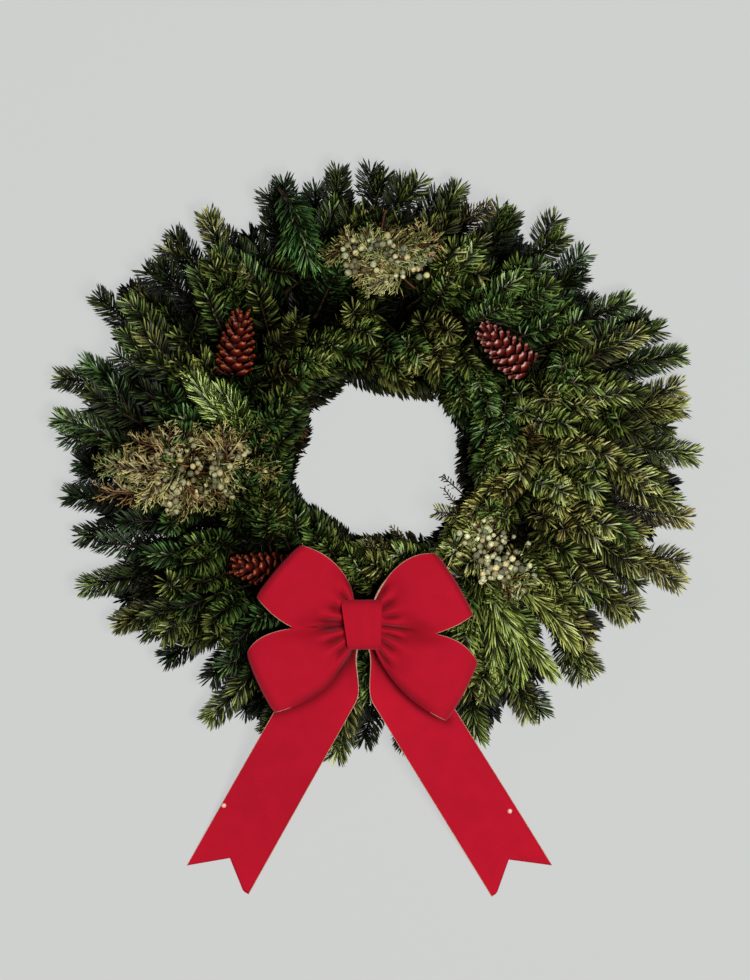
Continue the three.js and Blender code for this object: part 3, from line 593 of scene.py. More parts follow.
def bunch_shoots(k, rng):
    """One bunch's curves, where along each its needles begin and how pale they are. A shoot leaves
    the bound stems on the ring, rises past where its needles begin and ends at its tip. Some fork:
    a side shoot leaves them at about FORK_ANGLE."""
    tip_angle, reach, inner, _ = BUNCHES[k]
    ray = ray_of(k)
    shoots = []
    for row, (tip_r, tip_z, from_r, from_z, sideways, lightness) in enumerate(OUTER_SHOOTS):
        loose = 0 if row == 0 else 1
        end_r = (tip_r if tip_r > 0 else reach + tip_r) + loose * rng.normal(0, 8)
        r = np.array([RING_RADIUS, from_r, (from_r + end_r) / 2, end_r])
        aside = sideways + np.array([0, 0.3, 1, 1.6]) * loose * rng.normal(0, 2.6)
        at = ray + aside + np.degrees(np.arcsin(SWIRL_RADIUS / r))
        z = np.array([BUTT_HEIGHT + 6 * rng.uniform(-1, 1), from_z, (from_z + tip_z) / 2 + 6, tip_z])
        z[2:] += rng.normal(0, 7) * loose
        curve = on_wreath(r, at, z)
        shoots.append((curve, 0.42, lightness))
        if lightness > 0.8 and rng.random() < FORK_SHARE:
            hand = rng.choice((-1, 1))
            root, forward = along_curve(curve, rng.uniform(0.62, 0.72))
            spread = math.radians(FORK_ANGLE + rng.normal(0, 4))
            out = leaning(forward, unit(np.cross(forward, (0, 0, 1.0))) * hand, spread)
            size = rng.uniform(30, 42)
            end = root + size * unit(out + forward * 0.4)
            fork = np.stack([root, root + out * size * 0.33, root + out * size * 0.66, end])
            shoots.append((fork, 0.15, 0.85))
    on_ring = ray + RAY_TO_RING
    for *points, lightness in RIM_SHOOTS:
        out, turn, z = np.array(points, dtype=float).T
        wander = rng.normal(0, 3) * np.array([0, 0.5, 1, 1.5])
        shoots.append((on_wreath(inner + out + wander, on_ring + turn, z + wander), 0.42, lightness))
    for radius, turn in UPRIGHT_SHOOTS:
        foot = on_wreath(radius + rng.normal(0, 8), on_ring + turn + rng.normal(0, 3), UPRIGHT_FOOT)
        lean = np.radians(tip_angle - 50 + rng.normal(0, 70))
        way = np.array((math.cos(lean), math.sin(lean), 0)) * rng.uniform(14, 34)
        rise = np.interp(radius, *CANOPY) - 10 - UPRIGHT_FOOT + rng.normal(0, 4)
        stem = foot + np.outer((-0.5, 0, 0.5, 1), way) + np.outer((-0.5, 0.1, 0.6, 1), (0, 0, rise))
        shoots.append((stem, 0.3, 0.95))
    ends, bare, pale = (np.array(column) for column in zip(*shoots))
    top = np.minimum(TALLEST, ceiling(ends) - BELOW_CEILING)
    ends[..., 2] = np.clip(ends[..., 2], LOWEST, np.maximum(top, LOWEST + 2))
    return ends, bare, pale


def coated(ends, bare, shade, warmth, rng, needle, per_mm, twig_form, lean=(66, 44), lift=0.2):
    """Twigs along the curves ends, with needles all round them from u = bare to the tip. needle is
    their length, width and thickness. They follow each other round the twig by the golden angle.
    Each leans from the twig by the first of lean, and only the last few by the second, in degrees,
    and bends forwards and up. Those underneath are brought out to the sides. A needle is painted
    darker the deeper it is under the canopy, the more it faces down and the further back along the
    shoot it is, a painted shade; single needles get more painted shade or a painted highlight."""
    length, width, thickness = needle
    chord = np.linalg.norm(np.diff(ends, axis=1), axis=-1).sum(axis=1)
    count = np.maximum((per_mm * chord * (1 - bare)).astype(int), 4)
    twig = np.repeat(np.arange(len(ends)), count)
    order = np.concatenate([np.arange(c) for c in count])
    share = (order + rng.uniform(0, 1, len(order))) / np.repeat(count, count)
    u = bare[twig] + (1 - bare[twig]) * share**0.85
    root, forward = along_curve(ends[twig], u)
    side = unit(np.cross(forward, (0.01, 0.02, 1.0)))
    up = np.cross(side, forward)
    turn = order * GOLDEN_ANGLE + rng.normal(0, 0.2, len(order))
    rise = np.where(np.sin(turn) < 0, 0.55 * np.sin(turn) + 0.2, np.sin(turn))
    out = unit(side * np.cos(turn)[:, None] + up * rise[:, None])
    angle = lean[0] + (lean[1] - lean[0]) * share**5 + rng.normal(0, 6, len(order))
    angle = np.radians(angle)[:, None]
    start = leaning(forward, out, angle)
    end = unit(leaning(forward, out, 0.66 * angle) + (0, 0, lift))
    size = length * rng.uniform(0.88, 1.06, len(order)) * (1 - 0.15 * share**3)
    wide = np.broadcast_to(width, len(ends))[twig] * rng.uniform(0.85, 1.15, len(order))
    root = root + out * TWIG_RADIUS * 0.4
    hue = np.clip(warmth[twig] + rng.normal(0, 0.1, len(order)), 0, 1.5)
    tip = root + size[:, None] * blade_path(start, end, 1)
    # Painted shade: darker deep under the canopy, on needles that face down and back along the shoot;
    # single needles get more painted shade or a painted highlight.
    buried = np.interp(np.hypot(tip[:, 0], tip[:, 1]), *CANOPY) - tip[:, 2]
    depth = (1 - 0.93 * smooth((buried + 4) / CANOPY_DARK_DEPTH)) * (0.6 + 0.4 * np.clip(rise, -1, 1))
    luck = rng.random(len(order))
    turned = np.where(luck < TURNED_AWAY, DULL, np.where(luck > SHINING, BRIGHT, PLAIN))
    turned = turned * rng.uniform(0.7, 1.3, len(order))
    depth = depth * (0.5 + 0.6 * share) * turned
    kept = (tip[:, 2] < ceiling(tip)) & (tip[:, 2] > 1.0)
    face = unit(forward * 0.6 + up * 0.8)
    blade = [part[kept] for part in (root, start, end, face, size, wide)]
    needles = leaves(blade, hue[kept], (np.asarray(shade)[twig] * depth)[kept], thickness)
    return [needles, bark_of(ends, *twig_form)]


for k in range(len(BUNCHES)):
    rng = np.random.default_rng(100 + k)
    ends, bare, pale = bunch_shoots(k, rng)
    # Painted light: paler towards the lower right of the wreath and darker to the upper left, as if
    # lit from the lower right; the bunches there are yellower too.
    side_light = cos_sin(BUNCHES[k, 0] + 30)[0]
    shade = pale * np.clip(0.83 + 0.3 * side_light + rng.normal(0, 0.32, len(ends)), 0.2, 1.8)
    warmth = 0.48 + 0.15 * side_light + BUNCHES[k, 3] + rng.normal(0, 0.22, len(ends))
    warmth = np.clip(warmth, 0, 1.15)
    # The low shoots at the outside are bushier.
    per_mm = NEEDLES_PER_MM * np.where(ends[:, 3, 2] < 50, BUSHIER, 1.0)
    needle = (NEEDLE_LENGTH, np.where(pale < 0.5, DARK_NEEDLE_WIDTH, NEEDLE_WIDTH), NEEDLE_THICK)
    radius = np.where(bare > 0.2, 1.5 * TWIG_RADIUS, TWIG_RADIUS)
    parts = coated(ends, bare, shade, warmth, rng, needle, per_mm, (radius,))
    odd = [row[1:] for row in ODD_SHOOTS if row[0] == k + 1]
    around = np.array((0, ray_of(k) + RAY_TO_RING, 0))
    # The low shoots are painted dark, painted shade.
    odd += [(foot + around, tip + around, 0.4, 0.24, 19) for foot, tip in LOW_SHOOTS]
    for foot, tip, brown, lightness, length in odd:
        foot, tip = on_wreath(*foot), on_wreath(*tip)
        bow = rng.normal(0, 3, 3)
        one = np.array([[foot, foot + (tip - foot) * 0.4 + bow, foot + (tip - foot) * 0.7 + bow, tip]])
        bare, shade, warmth = np.array([[0.3], [lightness], [brown]])
        width = LOW_NEEDLE_WIDTH if lightness < 0.3 else ODD_NEEDLE_WIDTH
        needle = (length, width, NEEDLE_THICK)
        parts += coated(one, bare, shade, warmth, rng, needle, length / 7, (0.9,))
    bunch = piece(f"fir_{k + 1:02d}", parts, fir_needles)
    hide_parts(f"fir_bunch_{k + 1:02d}")


# ---------- juniper and its berries ----------
# Three clusters of juniper lie on the fir: open feathery sprays of scale leaves, from yellow-green to
# rust, and groups of pale green berries with a waxy bloom, on short stalks. Each is pushed in between
# two bunches of fir.

# x, y, half sizes and how far they are turned, height of the fir under it, how rusty it is, the
# number of sprays and of groups of berries, and how pale these are.
JUNIPER = {
    "top": (9.0, 195.0, 58.0, 34.0, 0, 92.0, 0.36, 26, 24, 0.75),
    "left": (-178.0, -8.0, 92.0, 46.0, 4, 86.0, 0.6, 36, 40, 0.66),
    "right": (117.0, -92.0, 62.0, 34.0, -48, 88.0, 0.3, 7, 30, 0.95),
}
BERRY_RADIUS = 3.2
SPRAY_PAIRS, BRANCHLET_ANGLE = 7, 40

juniper_tips = ((0.20, 0.27, 0.05), (0.76, 0.66, 0.23), (0.52, 0.27, 0.11))
juniper_bark = (0.09, 0.028, 0.012)
juniper_scales = foliage("juniper_scale_leaves", (0.014, 0.006, 0.0015), juniper_tips, 0.55, juniper_bark)


def feathers(cluster, rng):
    """Open sprays that fan out from a cluster's middle. Each has a bent main twig, branchlets on both
    sides of it at 40 degrees and, on them, shorter ones at 38 degrees. Gives the twigs' curves and
    the blades of all branchlets."""
    x, y, a, b, lie, floor, rust, count, _, _ = cluster
    turn = (np.arange(count) + rng.uniform(-0.35, 0.35, count)) * GOLDEN_ANGLE
    reach = 0.35 + 0.65 * np.sqrt((np.arange(count) + 0.6) / count)
    out = np.stack([np.cos(turn), np.sin(turn), 0 * turn], axis=-1)
    c, s = cos_sin(lie)
    turned = np.array([(c, s, 0), (-s, c, 0), (0, 0, 1)])
    tip = np.array((x, y, 0)) + (out * (a, b, 0)) @ turned * reach[:, None]
    length = rng.uniform(42, 66, count)
    heading = unit((out * (a, b, 0) + rng.normal(0, 0.3, (count, 3)) * (a, b, 0)) @ turned)
    root = tip - heading * length[:, None]
    tilt = unit(np.cross(heading, (0, 0, 1.0)))
    z = floor + 22 - 8 * reach + rng.normal(0, 5, count)
    rise = np.array([-14.0, -2.0, 5.0, 5.0])
    ends = root[:, None] + (tip - root)[:, None] * np.array([0, 0.33, 0.66, 1])[None, :, None]
    bow = rng.normal(0, 7, count)[:, None] * np.array([0, 1, 1, 0])
    ends = ends + tilt[:, None] * bow[..., None]
    ends[..., 2] = z[:, None] + rise
    # Branchlets.
    u = np.linspace(0.2, 0.95, SPRAY_PAIRS * 2)
    spray = np.repeat(np.arange(count), SPRAY_PAIRS * 2)
    u = np.tile(u, count)
    hand = np.where(np.arange(len(u)) % 2, 1.0, -1.0)
    place, forward = along_curve(ends[spray], u)
    across = tilt[spray] * hand[:, None]
    spread = np.radians(BRANCHLET_ANGLE + rng.normal(0, 8, len(u)))[:, None]
    way = leaning(forward, across, spread) + rng.normal(0, 0.1, (len(u), 3))
    way = unit(way + (0, 0, 0.12))
    size = (22 * (1 - u) + 10) * rng.uniform(0.7, 1.25, len(u))
    bend = unit(way + forward * 0.5)
    parts = [(place, way, bend, size, u, spray)]
    # Smaller ones on the branchlets.
    for step, hand2 in ((0.35, 1), (0.55, -1), (0.75, 1)):
        sub_place = place + size[:, None] * blade_path(way, bend, step)
        sub_side = unit(np.cross(way, (0, 0, 1.0))) * hand2
        sub_way = unit(way * 0.79 + sub_side * 0.62 + rng.normal(0, 0.12, way.shape))
        sub_size = size * (0.62 - 0.4 * step)
        parts.append((sub_place, sub_way, unit(sub_way + way * 0.6), sub_size, u, spray))
    place, way, bend, size, u, spray = (np.concatenate(column) for column in zip(*parts))
    warmth = np.clip(rust + rng.normal(0, 0.26, count)[spray] - 0.3 * u + 0.1, 0, 1)
    shade = 0.95 + rng.normal(0, 0.25, count)[spray] + rng.normal(0, 0.5, len(u)) + 0.3 * (u - 0.5)
    # Painted shade: the lower a branchlet lies, the darker it is.
    depth = 0.08 + smooth((place[:, 2] - floor - 9) / 15)
    return ends, (place, way, bend, size), warmth, np.clip(shade, 0.2, 2.0) * depth


def balls(place, radius, facing, rows, columns, dimple=0.86):
    """Round balls at each place: circles of latitude round facing, with a point at each pole, the
    one in front dimple radii from the middle. Gives vertices, triangles, how far from the front pole
    each vertex is (0 to 1), the balls' shape for a radius of 1 and the number of a ball's vertices."""
    count = len(place)
    side = unit(np.cross(facing, (0.3, 0.2, 1.0)))
    up = np.cross(side, facing)
    polar = np.linspace(0, np.pi, rows + 2)[1:-1]
    turn = np.arange(columns) * 2 * np.pi / columns
    ring = side[:, None] * np.cos(turn)[:, None] + up[:, None] * np.sin(turn)[:, None]
    flat = facing[:, None, None] * np.cos(polar)[None, :, None, None]
    body = flat + ring[:, None] * np.sin(polar)[None, :, None, None]
    poles = np.stack([facing * dimple, -facing], axis=1)
    shape = np.concatenate([poles[:, :1], body.reshape(count, -1, 3), poles[:, 1:]], axis=1)
    vertices = place[:, None] + shape * radius[:, None, None]
    faces, size = capped_rings(count, rows, columns)
    share = np.concatenate([[0.0], np.repeat(polar / np.pi, columns), [1.0]])
    return vertices.reshape(-1, 3), faces, np.tile(share, count), shape, size


def berries(cluster, rng):
    """Round berries in groups of three to five that touch, the groups spread evenly over the middle
    of a cluster, group i at sqrt(i) out and i golden angles round, domed. Each berry has a small
    dimple at its end and a stalk down into the sprays."""
    x, y, a, b, lie, floor, rust, _, groups, pale = cluster
    group = np.repeat(np.arange(groups), rng.integers(3, 6, groups))
    count = len(group)
    turn = group * GOLDEN_ANGLE + rng.normal(0, 0.25, groups)[group]
    reach = np.sqrt((group + 0.5) / groups) * rng.uniform(0.85, 1.15, groups)[group]
    around = np.arange(count) * 2.5
    off = BERRY_RADIUS * rng.uniform(0.9, 2.1, count)
    c, s = cos_sin(lie)
    along, aside = 0.75 * a * reach * np.cos(turn), 0.75 * b * reach * np.sin(turn)
    place = np.stack([
        x + along * c - aside * s + off * np.cos(around),
        y + along * s + aside * c + off * np.sin(around),
        floor + 28 - 4 * rust - 9 * reach**2 + rng.normal(0, 4, groups)[group] + rng.normal(0, 2, count),
    ], axis=-1)
    radius = BERRY_RADIUS * rng.uniform(0.7, 1.15, count)
    facing = unit(np.stack([np.cos(around), np.sin(around), 0.5 + 0 * turn], axis=-1))
    facing = unit(facing + rng.normal(0, 0.4, (count, 3)))
    vertices, faces, share, shape, size = balls(place, radius, facing, 6, 9)
    shade = pale * rng.uniform(0.2, 1.5, count)
    hue = np.clip(rng.uniform(0, 1, count) + 0.5 - rust, 0, 1)
    tint = tinted(size, hue, shade, share, 0.0)
    # Painted shade: each berry is darker towards its underside.
    tint[:, 1] *= 0.3 + 0.7 * smooth(0.55 + 0.6 * shape[..., 2].ravel())
    foot = place - facing * radius[:, None] + rng.normal(0, 2, (count, 3)) - (0, 0, 12)
    bend = place - facing * (radius[:, None] + 3)
    stalk = np.stack([foot, foot + (0, 0, 4), bend, place - facing], axis=1)
    return (vertices, faces, tint), stalk


def waxy_berry():
    """A berry: yellow-green to blue-green under a pale bloom that noise rubs thin in places, with a
    dark dimple at the end."""
    material = blank("juniper_berry_bloom")
    hue, shade, share, kind = tint_values(material)
    rubbed = noise(material, 420, 4)
    skin = mixed(material, (0.18, 0.15, 0.04), (0.13, 0.16, 0.07), hue)
    wax = mixed(material, (0.66, 0.53, 0.25), (0.54, 0.56, 0.34), hue)
    waxed = mixed(material, skin, wax, mapped(material, rubbed, 0.35, 0.62, 0.25, 0.95))
    # Painted shade from the attribute tint.
    waxed = shaded(material, waxed, shade)
    dimple = mapped(material, share, 0.0, 0.14, 1.0, 0.0)
    waxed = mixed(material, waxed, (0.10, 0.07, 0.03), dimple)
    return finished(material, {
        "Base Color": mixed(material, waxed, (0.16, 0.11, 0.04), kind),
        "Roughness": mapped(material, rubbed, 0.3, 0.7, 0.45, 0.8),
        "Specular IOR Level": 0.3,
    })


berry_bloom = waxy_berry()
for number, (place_name, cluster) in enumerate(JUNIPER.items()):
    rng = np.random.default_rng(300 + number)
    ends, (root, way, bend, length), warmth, shade = feathers(cluster, rng)
    face = np.tile((0.0, 0.0, 1.0), (len(root), 1))
    wide = np.clip(length * 0.13, 1.5, 2.1)
    sprigs = leaves((root, way, bend, face, length, wide), warmth, shade, 1.1, (0.0, 0.45))
    spray = piece(f"juniper_sprays_{place_name}", [sprigs, bark_of(ends, 1.0, 0.45)], juniper_scales)
    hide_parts(f"juniper_{place_name}")
    fruit, stalk = berries(cluster, rng)
    stalks = bark_of(stalk, 0.55, 0.8, 4, 4)
    cluster_piece = piece(f"berries_{place_name}", [fruit, stalks], berry_bloom, True)
    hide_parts(f"juniper_berries_{place_name}")


# ---------- pine sprays ----------
# Three sprays of pine lie on the fir: limber twigs with long soft needles that lie close along them,
# in plumes. Each spray is pushed in between two bunches of fir.

# Where the twigs of a spray part, where each ends, how long the needles are, how far they lean from
# the twig, how yellow they are and how pale.
PINES = {
    "top": ((-92, 262, 66), [(-64, 192, 94), (-80, 208, 86)], 25.0, (56, 26), 0.2, 0.8),
    "left": ((-122, 18, 86), [(-173, 80, 100), (-160, 60, 98), (-147, 66, 104)], 20.0, (54, 32), 0.6, 1.45),
    "right": (
        (100, -102, 86),
        [
            (92, -172, 86), (114, -195, 82), (138, -200, 76),
            (166, -198, 72), (186, -170, 82), (128, -156, 98),
        ],
        24.0, (36, 14), 0.78, 1.0,
    ),
}

pine_tips = ((0.08, 0.23, 0.06), (0.26, 0.44, 0.08), (0.50, 0.56, 0.13))
pine_needles = foliage("pine_needles", (0.010, 0.022, 0.004), pine_tips, 0.4)


def pine_twigs(start, tips, rng):
    """Curves from a common start to each tip, bent aside by up to 8 mm and lifted in the middle."""
    start = np.array(start, dtype=float)
    tips = np.array(tips, dtype=float)
    way = tips - start
    aside = unit(np.cross(way, (0, 0, 1.0))) * rng.normal(0, 6, len(tips))[:, None]
    first = start + way * 0.33 + aside + (0, 0, 8)
    second = start + way * 0.66 + aside + (0, 0, 10)
    return np.stack([np.broadcast_to(start, tips.shape), first, second, tips], axis=1)


for number, (place_name, (start, tips, length, lean, warmth, pale)) in enumerate(PINES.items()):
    rng = np.random.default_rng(400 + number)
    ends = pine_twigs(start, tips, rng)
    bare = np.full(len(ends), 0.08)
    shade = pale * rng.uniform(0.65, 1.2, len(ends))
    hues = np.clip(warmth + rng.normal(0, 0.12, len(ends)), 0, 1)
    needle = (length, 1.35, 0.6)
    parts = coated(ends, bare, shade, hues, rng, needle, 2.4, (1.5, 0.5), lean, 0.04)
    made = piece(f"pine_{place_name}", parts, pine_needles)
    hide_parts(f"pine_spray_{place_name}")


# ---------- pine cones ----------
# Three open cones, dark red-brown with a thin varnish. Stiff woody scales stand in spirals round a
# core, each thicker at its end, with a small point in the middle of it.

CONE_LENGTH, CONE_RADIUS, SCALE_STANDS = 56.0, 14.0, 4.5
CONE_SCALES = 60
CORE_LINE = np.array([[(-26.0, 0, 0), (-9.0, 0, 0), (9.0, 0, 0), (26.0, 0, 0)]])
CORE_RADIUS, CORE_TAPER = 8.5, 0.45


def shells(surface, above, below):
    """Closed shells round many patches at once. surface[i, row, column] is a patch's middle surface;
    its upper side is surface + above * normal and its lower side surface - below * normal, with the
    normal from the differences along rows and columns. The rims are joined."""
    n, rows, columns = surface.shape[:3]
    down = np.gradient(surface, axis=1)
    over = np.gradient(surface, axis=2)
    normal = unit(np.cross(over, down))
    upper = surface + normal * np.reshape(above, (*np.shape(above), 1))
    lower = surface - normal * np.reshape(below, (*np.shape(below), 1))
    vertices = np.stack([upper, lower], axis=1).reshape(n, -1, 3)
    index = np.arange(rows * columns).reshape(rows, columns)
    a, b, c, d = index[:-1, :-1], index[:-1, 1:], index[1:, 1:], index[1:, :-1]
    sheet = np.concatenate([np.stack([a, b, c], -1), np.stack([a, c, d], -1)]).reshape(-1, 3)
    rim = np.concatenate([index[0], index[1:, -1], index[-1, -2::-1], index[-2:0:-1, 0]])
    low_rim = rim + rows * columns
    ahead, low_ahead = np.roll(rim, -1), np.roll(low_rim, -1)
    edge = np.concatenate([np.stack([rim, low_rim, low_ahead], -1), np.stack([rim, low_ahead, ahead], -1)])
    one = np.concatenate([sheet, sheet[:, ::-1] + rows * columns, edge])
    size = 2 * rows * columns
    return vertices.reshape(-1, 3), copied(one, size, n), size


def cone_scales(rng):
    """Scales of a cone that lies along +X, its narrow end forwards. Scale i stands at share
    (i + 1/2) / count of the length and i golden angles round. It grows from the core out to the
    cone's surface, R = radius (0.3 + 0.7 sin(pi (0.2 + 0.8 share)^0.72)), leaning forwards more
    towards the narrow end. Its width swells to its end, which is rounded off."""
    share = (np.arange(CONE_SCALES) + 0.5) / CONE_SCALES
    turn = np.arange(CONE_SCALES) * GOLDEN_ANGLE
    radius = CONE_RADIUS * (0.3 + 0.7 * np.sin(np.pi * (0.2 + 0.8 * share) ** 0.72))
    axis = np.array((1.0, 0, 0))
    out = np.stack([0 * turn, np.cos(turn), np.sin(turn)], axis=-1)
    across = np.cross(axis, out)
    root = axis * ((share - 0.5) * CONE_LENGTH - 5)[:, None] + out * (0.3 * radius)[:, None]
    tip = axis * ((share - 0.5) * CONE_LENGTH + 1 + 4 * share)[:, None]
    tip = tip + out * (radius + SCALE_STANDS * (1 - 0.35 * share))[:, None]
    v = np.linspace(0, 1, 6)[None, :, None, None]
    s = np.linspace(-1, 1, 5)[None, None, :, None]
    half = 0.52 * radius * (1 - 0.15 * share) * rng.uniform(0.92, 1.08, CONE_SCALES)
    rounded = np.sqrt(1 - np.clip((v - 0.48) / 0.54, 0, 1) ** 1.6)
    width = half[:, None, None, None] * (0.35 + 0.65 * smooth(v / 0.7)) * rounded
    forward = unit(tip - root)[:, None, None]
    up = unit(np.cross(across, unit(tip - root)))[:, None, None]
    middle = root[:, None, None] + (tip - root)[:, None, None] * v + up * 1.6 * np.sin(np.pi * v)
    curl = up * (-1.1 * s**2 * v)
    surface = middle + across[:, None, None] * width * s + curl + forward * (-0.8 * s**2 * v)
    thick = (0.4 + 1.1 * smooth((v - 0.45) / 0.45)) * (1 - 0.45 * s**2)
    point = 1.0 * np.exp(-(((v - 0.88) / 0.1) ** 2) - (s / 0.3) ** 2)
    above = np.broadcast_to((thick + point)[..., 0], surface.shape[:3])
    vertices, faces, size = shells(surface, above, np.full(surface.shape[:3], 0.5))
    rows = np.broadcast_to(v[..., 0], surface.shape[:3])
    tint = tinted(size, rng.uniform(0, 1, CONE_SCALES), rng.uniform(0.8, 1.15, CONE_SCALES), 0, 0)
    tint[:, 2] = np.stack([rows, rows], axis=1).ravel()
    return vertices, faces, tint


def varnished_wood(name, deep, body, edge):
    """Cone scales: deep colour at the root, which is painted shade, body over most of the scale and
    edge at its rim, a painted highlight, with a streaky grain and a thin coat of varnish."""
    material = blank(name)
    _, _, share, _ = tint_values(material)
    grain = noise(material, 700, 5)
    wood = mixed(material, deep, body, mapped(material, share, 0.35, 0.8))
    wood = mixed(material, wood, edge, mapped(material, share, 0.86, 1.0, 0, 0.9))
    return finished(material, {
        "Base Color": mixed(material, wood, deep, mapped(material, grain, 0.45, 0.75, 0, 0.6)),
        "Roughness": mapped(material, grain, 0.3, 0.7, 0.3, 0.55),
        "Normal": bump(material, grain, 0.35, 0.0004),
        "Specular IOR Level": 0.35,
        "Coat Weight": 0.06,
        "Coat Roughness": 0.25,
    })


# Each cone's root colour is painted shade and its edge colour a painted highlight: orange on the red cones
# and pinkish white on the other.
red_scales = ((0.022, 0.002, 0.001), (0.085, 0.005, 0.0012), (0.44, 0.10, 0.022))
glinting_scales = ((0.025, 0.003, 0.002), (0.13, 0.009, 0.006), (0.75, 0.42, 0.34))
red_cone = varnished_wood("varnished_red_cone", *red_scales)
pale_cone = varnished_wood("red_cone_painted_glints", *glinting_scales)
for number, (place_name, (x, y, floor, turn)) in enumerate(CONES.items()):
    rng = np.random.default_rng(500 + number)
    vertices, faces, tint = cone_scales(rng)
    core, core_faces, core_size = twigs(CORE_LINE, CORE_RADIUS, CORE_TAPER, 8, 10)
    core_tint = tinted(core_size, np.zeros(1), np.ones(1), 0.0, 0.0)
    c, s = cos_sin(turn)
    roll_c, roll_s = cos_sin(40 * number)
    rolled = np.array([(1, 0, 0), (0, roll_c, -roll_s), (0, roll_s, roll_c)])
    laid = (np.array([(c, -s, 0), (s, c, 0), (0, 0, 1)]) @ rolled).T
    lie = np.array((x, y, floor + CONE_RADIUS + SCALE_STANDS))
    parts = [(vertices @ laid + lie, faces, tint), (core @ laid + lie, core_faces, core_tint)]
    paint = pale_cone if place_name == "upper_right" else red_cone
    cone = piece(f"cone_{place_name}", parts, paint, True)
    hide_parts(f"pine_cone_{place_name}")


# ---------- bow ----------
# Wired velvet ribbon, 63.5 mm wide, with a thin gold cord sewn into both edges. Four loops and two
# tails are gathered under a band of the same ribbon and tied to the ring with wire. The loops are
# puffed out, with creases that run from the band.

# Heights of a loop's back and front, half the thickness of the cloth and what its edge cord adds, the
# depth of a tail's notch and of its trimmed point, half the width at the gathers, and how many times
# its reach a loop's ribbon is long.
LOOP_BACK, LOOP_FRONT = 104.0, 132.0
CLOTH, EDGE_CORD = 0.5, 0.3
NOTCH, TRIM = 27.0, 5.0
GATHER_HALF = 8.0
FOLD_FROM, FLAT_STATIONS = 0.91, 34
BAND_WIDTH, BAND_HALF_HEIGHT, BAND_HALF_DEPTH, BAND_HEIGHT = 36.0, 23.2, 10.4, 120
# In plan, from the middle of the knot: the curve of each loop's outer edge from the band to its
# corner, its corner next to its neighbour, where it parts from its neighbour, and the curve between.
LOOP_EDGES = {
    "upper_left": (
        ((-8, 15), (-10, 50), (-34, 70), (-59.8, 75.5)), (-101.2, 26.7), (-65.3, -3.6), (-88, 8)
    ),
    "upper_right": (
        ((8, 15), (16, 42), (40, 72), (69.7, 67.2)), (104.6, 9.3), (66.9, -9.1), (91, -2)
    ),
    "lower_left": (
        ((-8, -14), (-14, -48), (-44, -74), (-84.1, -83.5)), (-110.2, -27.8), (-65.3, -3.6), (-103, -8)
    ),
    "lower_right": (
        ((8, -14), (16, -42), (40, -74), (79.3, -91.2)), (108.8, -36.1), (66.9, -9.1), (98, -13)
    ),
}


def bell(x, width):
    """exp(-(x / width)^2)."""
    return np.exp(-((x / width) ** 2))


def fading(x, first, over):
    """1 up to first, then smoothly down to 0 over the next over."""
    return 1 - smooth((x - first) / over)


def velvet_ribbon():
    """Crimson velvet: a soft nap that noise turns lighter and darker, times the attribute tint, which
    holds painted shade in creases, along tucked edges and under the loops' edges, with the tails
    painted a little lighter and the loops and band a little darker; a sheen, fine pile in the bump,
    and gold thread over the outermost half millimetre, by the ribbon's own UV map in millimetres."""
    material = blank("crimson_velvet")
    cloth = made_node(material, "UVMap", uv_map="cloth").outputs["UV"]
    nap_and_painted_shade = mapped(material, noise(material, 0.045, 3, cloth), 0.35, 0.65)
    pile = noise(material, 1.6, 2, cloth)
    base = mixed(material, (0.355, 0.0038, 0.0165), (0.385, 0.0042, 0.018), nap_and_painted_shade)
    base = mixed(material, base, (0.29, 0.003, 0.012), mapped(material, pile, 0.5, 0.8, 0, 0.4))
    tint = made_node(material, "Attribute", attribute_name="tint").outputs["Color"]
    base = mixed(material, base, tint, 1.0, "MULTIPLY")
    across = made_node(material, "SeparateXYZ", {"Vector": cloth}).outputs["X"]
    edge = made_node(material, "Math", {0: across}, operation="ABSOLUTE").outputs["Value"]
    gold = mapped(material, edge, RIBBON / 2 - 0.55, RIBBON / 2 - 0.35)
    strands = mapped(material, pile, 0.4, 0.6)
    thread = mixed(material, (0.28, 0.14, 0.07), (0.50, 0.38, 0.26), strands)
    return finished(material, {
        "Base Color": mixed(material, base, thread, gold),
        "Roughness": mapped(material, gold, 0, 1, 0.9, 0.4),
        "Normal": bump(material, pile, 0.35, 0.0005),
        "Sheen Weight": 0.2,
        "Sheen Roughness": 0.4,
        "Sheen Tint": (1.0, 0.25, 0.3),
        "Specular IOR Level": 0.1,
    })


velvet = velvet_ribbon()


def length_along(line):
    """How far along a line of points each of them is."""
    return np.concatenate([[0], np.cumsum(np.linalg.norm(np.diff(line, axis=0), axis=-1))])


def ribbon(name, surface, along, node, inset=1.0, nap_and_painted_shade=1.0):
    """Cloth round a grid of points, stations by columns: CLOTH thick to each side, with a cord of
    EDGE_CORD at both edges. Its UV map is millimetres across, times inset, and along the ribbon, and
    nap_and_painted_shade is how light the velvet is painted at each point, painted light and shade."""
    stations, columns = surface.shape[:2]
    across = columns_of(columns - 8)
    bead = CLOTH + EDGE_CORD * smooth((np.abs(across) - 0.955) / 0.02)
    thick = np.broadcast_to(bead, (1, stations, columns))
    vertices, faces, _ = shells(surface[None], thick, thick)
    nap_and_painted_shade = np.broadcast_to(nap_and_painted_shade, (stations, columns)).reshape(-1, 1)
    made = piece(name, [(vertices, faces, np.tile(nap_and_painted_shade, (2, 4)))], velvet, True)
    uv = np.stack(np.broadcast_arrays(across * inset * RIBBON / 2, along[:, None]), axis=-1)
    uv = np.concatenate([uv.reshape(-1, 2)] * 2)
    layer = made.data.uv_layers.new(name="cloth")
    layer.data.foreach_set("uv", uv[faces.ravel()].astype(np.float32).ravel())
    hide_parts(node)


def columns_of(count):
    """Even columns from -1 to 1 with four more close to each edge, where the cord is."""
    inner = np.linspace(-0.95, 0.95, count)
    rim = np.array([0.965, 0.98, 0.99, 1.0])
    return np.concatenate([-rim[::-1], inner, rim])


